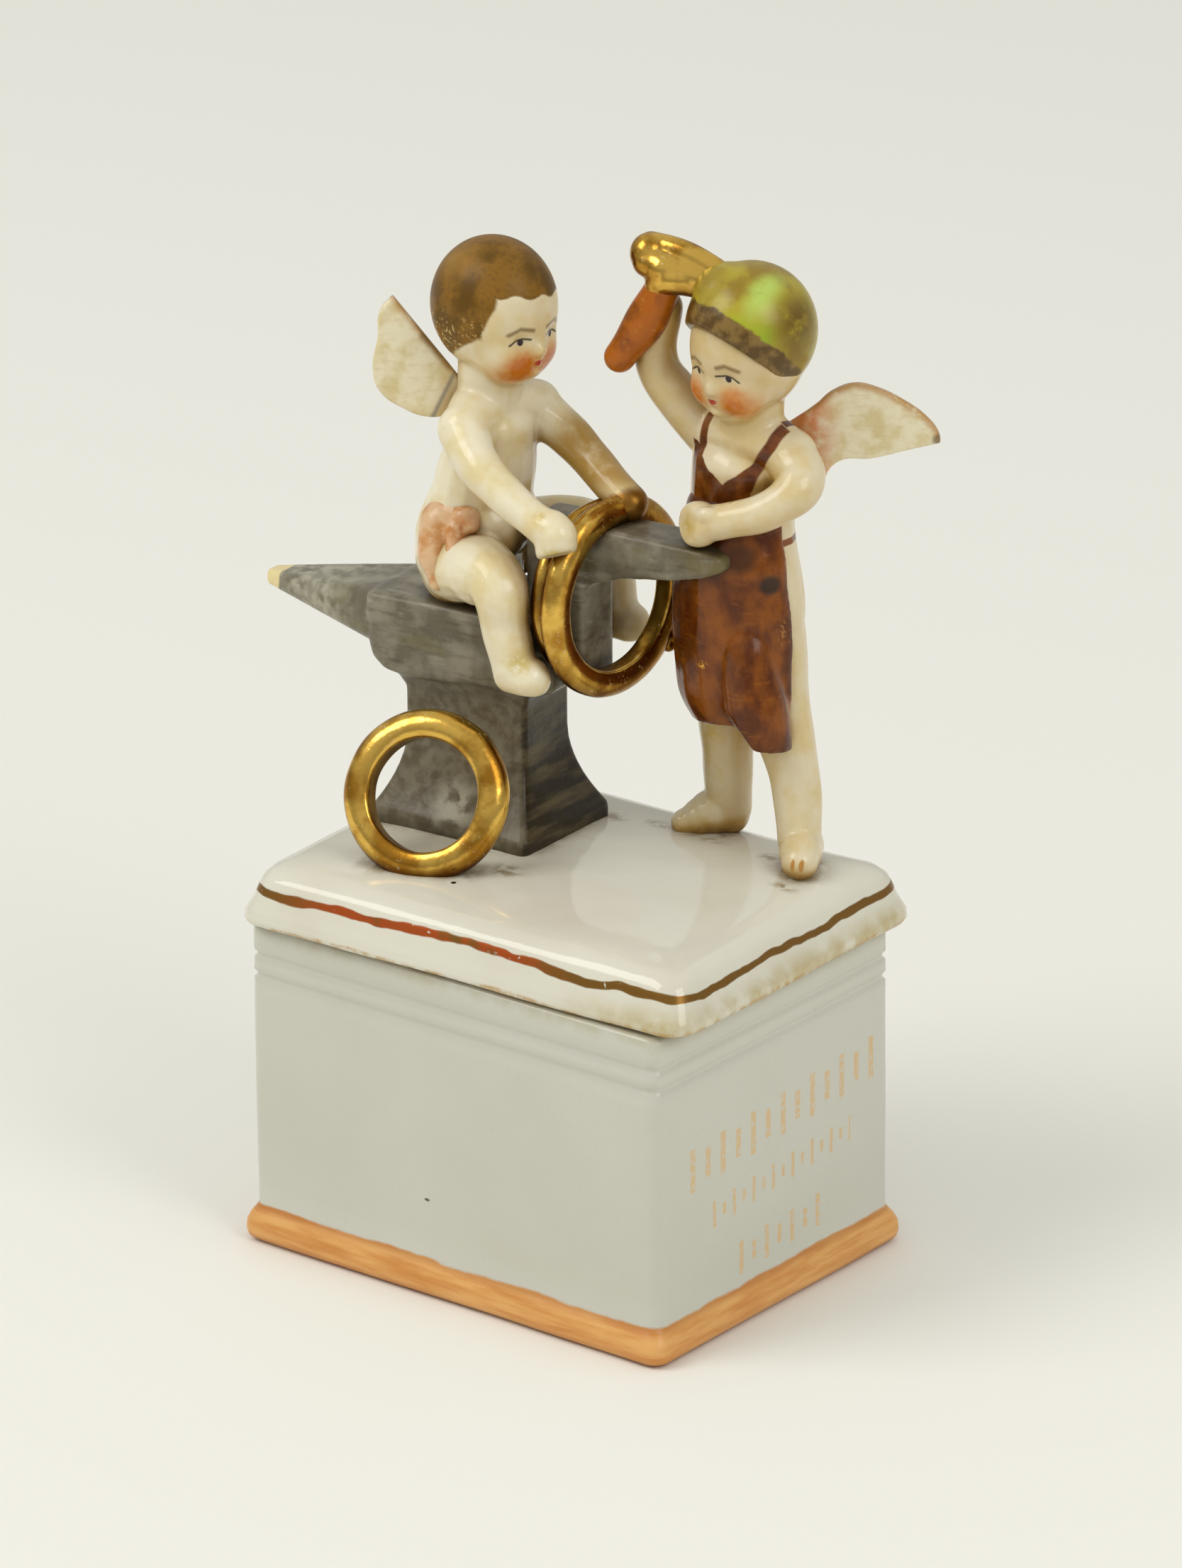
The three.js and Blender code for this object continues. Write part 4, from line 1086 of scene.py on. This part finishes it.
def standing_body():
    torso = limb(
        [(14.0, 17, 72), (13.9, 16.6, 80), (13.5, 16.2, 90), (13.8, 15.8, 97.2), (14.4, 15.4, 101.2)],
        (5.0, 5.6, 5.1, 5.0, 3), (1.3, 1, 1))
    fist = mass((13.2, 8, 91.5), (2.8, 2.75, 2.75))
    return [
        torso,
        cut(fist, (12.5, 6.7, 91.65), (-0.42, -0.9, 0.12)),
        limb([(9.0, 16.2, 99.8), (14.6, 15.6, 101), (20.4, 16.2, 99.2)], (3.1, 3.8, 3.2)),
        limb([(14.8, 15.8, 99), (15.2, 15.4, 106)], (3.8, 4.0)),
        limb([(16.6, 17, 77), (18.4, 17.4, 65), (20.7, 16.9, 58), (22.4, 15.4, 51.5)], (4.3, 3.55, 3, 2.65)),
        limb([(10, 18.4, 76), (9.2, 18.8, 64), (8.9, 19.2, 58), (8.6, 19.8, 51.5)], (4.6, 3.6, 3.05, 2.8)),
        limb([(22.2, 16.2, 51.0), (23.7, 13.8, 51.0), (24.7, 12.3, 50.6)], (2.6, 2.6, 2.25)),
        limb([(8.6, 20, 50.4), (7.2, 18.6, 50.8), (5.6, 17.2, 50), (4.6, 16.3, 49.6)], (2.4, 2.9, 2.3, 1.7)),
        limb(
            [(20.4, 16.2, 98.8), (23.2, 14.2, 97), (21.8, 10.8, 94.5), (17, 8.6, 92.6), (14.8, 8.2, 91.9)],
            (3.3, 2.95, 2.35, 2.15, 2.2)),
        mass((15.3, 6.9, 93.3), (1.6, 1.0, 1.1), 15),
        limb(
            [(8.9, 16.2, 99.4), (5.2, 14.7, 103.6), (2.8, 13.7, 107.6), (4.4, 12.9, 115)],
            (3.1, 2.85, 2.6, 2.3)),
    ]


STANDING_FACE = {
    "eye": (2.36, -2.4),
    "lid": ((1.35, -0.1), (0.6, 0.36), (-0.2, 0.5), (-1.35, 0.3)),
    "brow": ((1.4, 1.3), (0, 1.8), (-1.1, 1.4)),
    "mouth": -5.5,
    "blush": (3.1, -5.3),
    "blush_size": 2.7,
    "blush_strength": 0.9,
}


def painted_bib(coat, ground):
    # the bib up to its V, a strap over each shoulder, crossed at the back, and one round the waist
    parts = coat.split(coat.local((0, 0, 0)))
    x, y, z = parts["X"], parts["Y"], parts["Z"]
    flat = coat.flat(x, z)
    front = coat.edge(y, 15.8, 15.4)
    wobble = coat.scaled(coat.noise(1.4, 3), 0.7, -0.35)
    off = coat.math("SUBTRACT", x, BIB_POINT[0])
    over = [coat.scaled(off, -slope, coat.math("SUBTRACT", z, BIB_POINT[1])) for slope in BIB_SLOPES]
    sides = coat.math("MAXIMUM", coat.math("SUBTRACT", x, BIB_RIGHT), coat.math("SUBTRACT", BIB_LEFT, x))
    bib = coat.math("MAXIMUM", coat.math("MINIMUM", *over), sides)
    chest = coat.both(coat.both(front, coat.edge(y, 10.4, 10.6)), coat.edge(z, 80, 81))
    bib = coat.both(coat.edge(coat.math("ADD", bib, wobble), 0.12, -0.12), chest)
    for strap in FRONT_STRAPS:
        bib = coat.math("MAXIMUM", bib, coat.both(stroke(coat, flat, strap, 1.35, 0.14), front))
    back = coat.math("SUBTRACT", 1, front)
    for strap in BACK_STRAPS:
        bib = coat.math("MAXIMUM", bib, coat.both(stroke(coat, flat, strap, 0.95, 0.14), back))
    waist = coat.math("ABSOLUTE", coat.math("SUBTRACT", z, WAIST))
    tie = coat.both(coat.edge(waist, 0.5, 0.34), coat.edge(y, 12, 12.6))
    bib = coat.math("MAXIMUM", bib, tie)
    brown = coat.lay((84, 38, 8), (128, 70, 18), coat.patches(2.4, 4, 0.36, 0.66))
    return coat.lay(ground, brown, bib)


BIB_POINT = (14.4, 95.7)
BIB_SLOPES = (-0.72, 0.89)
BIB_LEFT = 8.7
BIB_RIGHT = 17.7
WAIST = 88.4
FRONT_STRAPS = (
    ((11.2, 104.5, 0), (10.5, 102.2, 0), (10.1, 99.0, 0), (10.2, 96.0, 0)),
    ((20.4, 104.5, 0), (20.2, 102.7, 0), (19.8, 101.0, 0), (18.1, 98.2, 0), (17.2, 95.6, 0)),
)
BACK_STRAPS = (
    ((11.2, 104.5, 0), (12.0, 99, 0), (16.2, 92, 0), (17.6, 88.4, 0)),
    ((20.4, 104.5, 0), (18.2, 99, 0), (12.6, 92, 0), (11.0, 88.4, 0)),
)
STANDING_STAINS = (
    # the same pooled glaze at the wrist, the fist, the elbow fold, the knee and the toes
    ((12.4, 6.3, 91.6), 2.6), ((17.6, 9.6, 94.0), 2.4), ((21.6, 12.2, 97.2), 2.8), ((22.6, 15.0, 98.5), 1.6),
    ((19.0, 14.4, 63.5), 2.6), ((9.2, 15.6, 62.5), 2.4), ((5.0, 16.0, 50.0), 2.0),
)
TOE_GAPS = ((25.2, 10.2, 50.9), (26.1, 10.9, 50.9))


def standing_paint():
    coat, ground = skin("standing skin", 0.34)
    _, flat, ahead = face_front(coat, STANDING_HEAD, STANDING_TURN)
    ground = painted_face(coat, ground, flat, ahead, STANDING_FACE)
    ground = stained(coat, ground, STANDING_STAINS, (198, 168, 84), 0.8)
    for centre in TOE_GAPS:
        ground = coat.lay(ground, (186, 134, 62), coat.spot(centre, (0.32, 1.0, 0.95), soft=0.4))
    ground = painted_bib(coat, ground)
    coat.link(ground, "Base Color")
    return coat.material


standing_putto = fuse("standing_putto", [
    head(STANDING_HEAD, STANDING_TURN, (7.1, 6.9, 8.0), (2.6, 0, -3.6), (3.9, 5.0, 5.4)), *standing_body(),
], 0.25, 12)
grab(standing_putto, face_strokes(STANDING_HEAD, STANDING_TURN, (6.6, 2.4, -2.4), (6.7, -4.2), (6.4, -5.5)))
standing_putto.data.materials.append(standing_paint())
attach(standing_putto, "root")
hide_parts("lid_with_figures")

# The leather apron: a sheet of clay wrapped over the belly and thighs, with one pleat that
# overlaps on the left and hangs lower. Red-brown enamel laid on in broad wet strokes.
HEM = 65.3
SHEET_BACK = ((14, 16.6, 70), (0.24, 0.97, 0))


def apron_clay():
    sheet = limb(
        [(14.6, 14.8, 61.5), (13.9, 14.6, 70.5), (13.8, 14.4, 77), (13.5, 14.4, 85), (13.5, 15.2, 90.6)],
        (3.7, 5.95, 6.15, 5.7, 5.0), (1.36, 1, 1))
    sheet = cut(fuse("sheet", [sheet], 0.3, 0), (10.5, 12, HEM + 0.2), (0.16, -0.02, -0.98))
    pleat = limb(
        [(16.6, 12.8, 82), (17.9, 11.4, 75), (19.3, 11.3, 67), (19.6, 11.4, 61)],
        (1.8, 3.4, 3.9, 4.0))
    pleat = cut(fuse("pleat", [pleat], 0.3, 0), (18.7, 8.3, 67.2), (-0.52, -0.67, -0.53))
    pleat = cut(fuse("pleat", [pleat], 0.3, 0), (19, 7.5, HEM), (-0.08, -0.18, -1))
    cloth = fuse("apron", [sheet, pleat], 0.22, 2)
    return fuse("apron", [cut(cloth, *SHEET_BACK)], 0.22, 6)


def leather_enamel():
    coat = Paint("leather enamel", 0.2, 0.3)
    wet = coat.noise(3.4, 4, (1.2, 1, 1.6), (0, 0.5, 0))
    ground = coat.lay((84, 38, 6), (136, 74, 14), coat.edge(wet, 0.36, 0.66))
    streaks = coat.noise(0.6, 3, stretch=(6, 3, 1), turn=(0, 0.35, 0))
    ground = coat.lay(ground, (158, 92, 28), coat.edge(streaks, 0.56, 0.75), 0.35)
    # painted shade: near black in the creases and where the apron meets the body
    ground = coat.lay(ground, (44, 20, 6), coat.creases(2.0), 0.8)
    button = coat.spot((20.7, 11.9, 84.3), (1.5, 2.2, 1.5), soft=0.5)
    ground = coat.lay(ground, (44, 30, 20), button, 0.9)
    # painted shadow of the anvil's heel on the apron
    heel_shadow = coat.spot((17.4, 10.4, 87.4), (2.6, 3, 2.4), soft=0.6)
    ground = coat.lay(ground, (46, 32, 22), heel_shadow, 0.7)
    worn = coat.broken((21.8, 12.4, 79.5), (0.5, 1.4, 3.6), 0.7, (0.4, 3, 0.48, 0.6))
    ground = coat.lay(ground, (170, 120, 66), worn)
    fleck = coat.broken((13.3, 8.7, 73.9), (1.0, 1.2, 0.7), 0.6, (0.5, 3, 0.5, 0.56))
    ground = coat.lay(ground, (214, 156, 60), fleck)
    coat.link(ground, "Base Color")
    coat.bump(coat.noise(1.4, 3), 0.07)
    return coat.material


apron = apron_clay()
apron.data.materials.append(leather_enamel())
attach(apron, "root")
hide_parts("lid_with_figures")

# The gold drip: a lump of slip between the rings and the apron, which ran down a little before it
# was fired. It is gilt with the rings.
gold_drip = fuse("gold_drip", [
    limb([(0.9, 16.2, 73.0), (2.6, 17.4, 72.4)], (1.3, 1.0)), mass((1.9, 16.8, 71.6), (1.0, 1.0, 1.1)),
], 0.2, 3)
gold_drip.data.materials.append(gold)
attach(gold_drip, "root")
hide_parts("lid_with_figures")

# The cap: a round cap modelled on the head, with a band that runs high over the brow and low at
# the nape. Green enamel over yellow, gone brown in places, with a brown band.
CAP_CENTRE = (15.2, 15.5, 113.8)
CAP_EDGE = (17.8, 10.9, 112.2)
CAP_AXIS = (0.2, 0.63, 0.751)


def cap_clay():
    dome = fuse("cap", [
        mass(CAP_CENTRE, (7.6, 7.9, 8.1), -14, 14), mass((13.4, 14.2, 117.6), (4.8, 4.6, 4.0), 0, 0, 20),
    ], 0.3, 14)
    cut(dome, CAP_EDGE, [-value for value in CAP_AXIS])
    return fuse("cap", [dome], 0.25, 4)


def cap_enamel():
    coat = Paint("green enamel", 0.26, 0.35)
    ground = coat.lay((174, 158, 44), (146, 120, 34), coat.patches(5, 3, 0.4, 0.64))
    blots = (
        # centre, reach, colour, strength: a bright streak that is a painted highlight, low yellow-green,
        # brown side, dark front
        ((19.0, 13.0, 118.6), (2.2, 5, 6), (186, 216, 104), 0.95),
        ((20.6, 10.4, 115.2), (2.0, 3, 3), (150, 176, 40), 0.85),
        ((17.0, 9.0, 116.0), (5, 3.2, 2.6), (168, 190, 30), 0.8),
        ((22.6, 15.0, 117), (3.0, 8, 8), (104, 78, 20), 0.95),
        ((12.0, 11.5, 120), (4.0, 4, 2.8), (140, 108, 34), 0.7),
        ((10.0, 9.2, 116.5), (3.0, 3, 2.2), (72, 98, 30), 0.8),
    )
    for centre, reach, colour, strength in blots:
        blot = coat.broken(centre, reach, 0.9, (2.2, 3, 0.15, 0.5))
        ground = coat.lay(ground, colour, blot, strength)
    height = coat.vector("DOT_PRODUCT", coat.vector("SUBTRACT", coat.place, mm(*CAP_EDGE)), CAP_AXIS)
    height = coat.math("ADD", height, coat.scaled(coat.noise(2, 3), 0.0014, -0.0007))
    band = coat.edge(height, 0.0026, 0.0022)
    earth = coat.lay((88, 64, 22), (132, 104, 54), coat.patches(1.6, 4, 0.38, 0.66))
    coat.link(coat.lay(ground, earth, band), "Base Color")
    coat.bump(coat.noise(1.5, 3), 0.05)
    return coat.material


cap = cap_clay()
cap.data.materials.append(cap_enamel())
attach(cap, "root")
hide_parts("lid_with_figures")

# The hammer: a plump orange-brown handle, and a gilt head with a heavy near end, whose far end
# sinks into the cap.
handle = fuse("hammer_handle", [
    limb([(5.4, 11.9, 118.4), (3.4, 11.2, 114), (0.3, 9.8, 108.9)], (2.1, 2.55, 1.9)),
], 0.2, 6)
coat = Paint("handle enamel", 0.28, 0.3)
ground = coat.lay((170, 92, 12), (126, 64, 6), coat.patches(3, 3, 0.4, 0.7))
ground = coat.lay(ground, (196, 142, 50), coat.patches(0.6, 3, 0.6, 0.72), 0.35)
coat.link(ground, "Base Color")
handle.data.materials.append(coat.material)
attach(handle, "root")
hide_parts("lid_with_figures")

hammer_head = fuse("hammer_head", [
    mass((3.0, 12, 121.5), (2.3, 2.3, 2.5)),
    limb(
        [(2.8, 12.6, 122.5), (6.8, 13.2, 122.2), (10.4, 14.0, 120.9), (13.4, 14.6, 119.2)],
        (1.5, 1.45, 1.4, 1.4)),
    limb([(3.4, 11.4, 120.8), (6.6, 12.0, 120.3), (10.2, 13.4, 119.2)], (2.0, 1.8, 1.8)),
    limb([(5.0, 11.3, 118.4), (6.6, 11.5, 119.2), (9.6, 13.0, 118.6)], (1.75, 1.9, 1.6)),
    limb([(5.0, 11.4, 117.8), (5.4, 11.6, 120.2)], (1.7, 2.2)),
], 0.2, 14)
hammer_head.data.materials.append(gold)
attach(hammer_head, "root")
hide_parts("lid_with_figures")

# The wings: thin leaves of clay, feathered along the trailing edge and stuck on at the shoulder
# blades. Cream glaze with ochre along the leading edge and a wash of colour at the root.
WING_THICKNESS = 1.3
WING_ROUNDING = 0.3


def wing(name, root, out, outline):
    """A leaf cut from an outline of (along, up) points, smooth except where marked as a corner."""
    deselect()
    bpy.ops.curve.primitive_bezier_circle_add(location=(0, 0, 0))
    leaf = bpy.context.object
    leaf.name = name
    leaf.data.dimensions = "2D"
    leaf.data.fill_mode = "BOTH"
    leaf.data.extrude = (WING_THICKNESS / 2 - WING_ROUNDING) / 1000
    leaf.data.bevel_depth = WING_ROUNDING / 1000
    leaf.data.bevel_resolution = 2
    leaf.data.offset = -WING_ROUNDING / 1000
    spline = leaf.data.splines[0]
    spline.bezier_points.add(len(outline) - len(spline.bezier_points))
    for point, (along, up, kind) in zip(spline.bezier_points, outline):
        point.co = mm(along, up, 0)
        point.handle_left_type = point.handle_right_type = kind
    bpy.ops.object.convert(target="MESH")
    along = Vector(out).normalized()
    upward = Vector((0, 0, 1))
    turn = Matrix((along, upward, along.cross(upward))).transposed().to_4x4()
    leaf.matrix_world = Matrix.Translation(mm(*root)) @ turn
    bpy.ops.object.transform_apply()
    return fuse(name, [leaf], 0.2, 6)


def wing_glaze(name, root, out, outline):
    # ochre along the leading edge and brown at the tip; colour washed over the root
    coat = Paint(name + " glaze", 0.18, 0.4)
    turn = math.degrees(math.atan2(out[1], out[0]))
    parts = coat.split(coat.local(root, turn))
    flat = coat.flat(parts["X"], parts["Z"])
    barbs = coat.noise(0.8, 3, stretch=(3, 3, 1))
    ground = coat.lay((232, 222, 190), (214, 196, 146), coat.patches(3, 3, 0.42, 0.7))
    ground = coat.lay(ground, (206, 184, 136), coat.edge(barbs, 0.52, 0.7), 0.4)
    tip = max(range(len(outline)), key=lambda k: math.hypot(outline[k][0], outline[k][1]))
    if outline is SEATED_WING:
        lead = [(*outline[k][:2], 0) for k in (tip, tip + 1)]
        dark = stroke(coat, flat, [(3.2, 10.4, 0), (0.2, 6.6, 0)], 0.7, 0.5)
        seam = stroke(coat, flat, [(-0.5, 6.0, 0), (2.2, 0.4, 0)], 0.45, 0.25)
    else:
        lead = [(*point[:2], 0) for point in outline[tip + 1:]]
        wash = coat.both(coat.edge(parts["X"], 5.6, 0.4), coat.patches(1.6, 3, 0.15, 0.6))
        ground = coat.lay(ground, (206, 112, 56), wash, 0.95)
        dark = dab(coat, flat, (outline[tip][0] - 0.3, outline[tip][1] + 0.5), (1.0, 1.0), 0.7)
        seam = coat.edge(parts["X"], 0.9, 0.2)
    edge = coat.both(stroke(coat, flat, lead, 0.9, 0.55), coat.patches(1.2, 3, 0.15, 0.5))
    ground = coat.lay(ground, (178, 122, 46), edge, 0.8)
    ground = coat.lay(ground, (108, 78, 36), dark, 0.8)
    shade = (112, 118, 126) if outline is SEATED_WING else (190, 84, 36)
    ground = coat.lay(ground, shade, seam, 0.8)
    # painted shade: tan in the hollows and where the wing meets the body
    ground = coat.lay(ground, (186, 152, 92), coat.creases(3), 0.6)
    coat.link(ground, "Base Color")
    coat.bump(barbs, 0.07)
    return coat.material


SEATED_WING = (
    (-1.6, 0.8, "VECTOR"), (2.7, 0.2, "AUTO"), (5.8, 1.4, "AUTO"), (8.5, 3.6, "AUTO"),
    (9.2, 6.2, "AUTO"), (8.6, 10, "AUTO"), (8.2, 13.6, "AUTO"), (6.7, 15.3, "VECTOR"),
    (0.0, 6.4, "VECTOR"), (-1.6, 4.2, "VECTOR"),
)
STANDING_WING = (
    (-1.6, -4.4, "VECTOR"), (1.9, -4.9, "VECTOR"), (2.8, -3.6, "AUTO"), (3.7, -1.6, "AUTO"),
    (5.2, -0.6, "AUTO"), (8.2, -0.45, "AUTO"), (12.4, 0.6, "AUTO"), (16.5, 1.6, "VECTOR"),
    (16.3, 2.8, "AUTO"), (14.8, 4.8, "AUTO"), (11.9, 6.9, "AUTO"), (9, 8.3, "AUTO"),
    (6.5, 8.8, "AUTO"), (3.8, 7.8, "AUTO"), (1.9, 6.1, "AUTO"), (-1.6, 3.6, "VECTOR"),
)
WINGS = {
    "seated_near_wing": ((-19.5, 3, 99.2), (-0.75, -0.66, 0), SEATED_WING),
    "seated_far_wing": ((-19.5, 8.2, 99.2), (-0.6, 0.8, 0), SEATED_WING),
    "standing_left_wing": ((18, 21, 97.55), (13.5, 9.5, 0), STANDING_WING),
    "standing_right_wing": ((13.4, 22, 97.55), (-9, 12, 0), STANDING_WING),
}
for name, (root, out, outline) in WINGS.items():
    leaf = wing(name, root, out, outline)
    leaf.data.materials.append(wing_glaze(name, root, out, outline))
    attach(leaf, "root")
    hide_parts("lid_with_figures")

# The sash: a scrap of cloth round the seated hips, knotted on the near side, with one end that
# hangs down the thigh. Pink wash with rusty red and painted shade in its folds.
sash = fuse("sash", [
    mass((-17.3, 0.9, 88.0), (3.8, 3.1, 3.1), 8),
    mass((-15.0, -0.2, 88.6), (1.9, 1.9, 1.7)),
    mass((-13.7, -0.7, 88.0), (1.0, 1.0, 1.0)),
    limb([(-18.6, -0.4, 87.4), (-18.2, -2.2, 84.2), (-17.2, -2.9, 80.7)], (2.5, 2.0, 1.0)),
    limb([(-15.4, -1.2, 87.4), (-14.8, -2.6, 85.2)], (1.6, 1.1)),
], 0.22, 11)
coat = Paint("sash enamel", 0.22, 0.4)
ground = coat.lay((222, 184, 142), (204, 146, 88), coat.patches(2, 3, 0.44, 0.66))
knot = coat.broken((-14.6, -1.6, 87.6), (3, 3, 3.2), 0.9, (1, 3, 0.2, 0.6))
ground = coat.lay(ground, (192, 120, 56), knot)
# rusty red and painted shade in the folds
ground = coat.lay(ground, (170, 112, 50), coat.creases(2.4), 0.5)
coat.link(ground, "Base Color")
sash.data.materials.append(coat.material)
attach(sash, "root")
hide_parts("lid_with_figures")
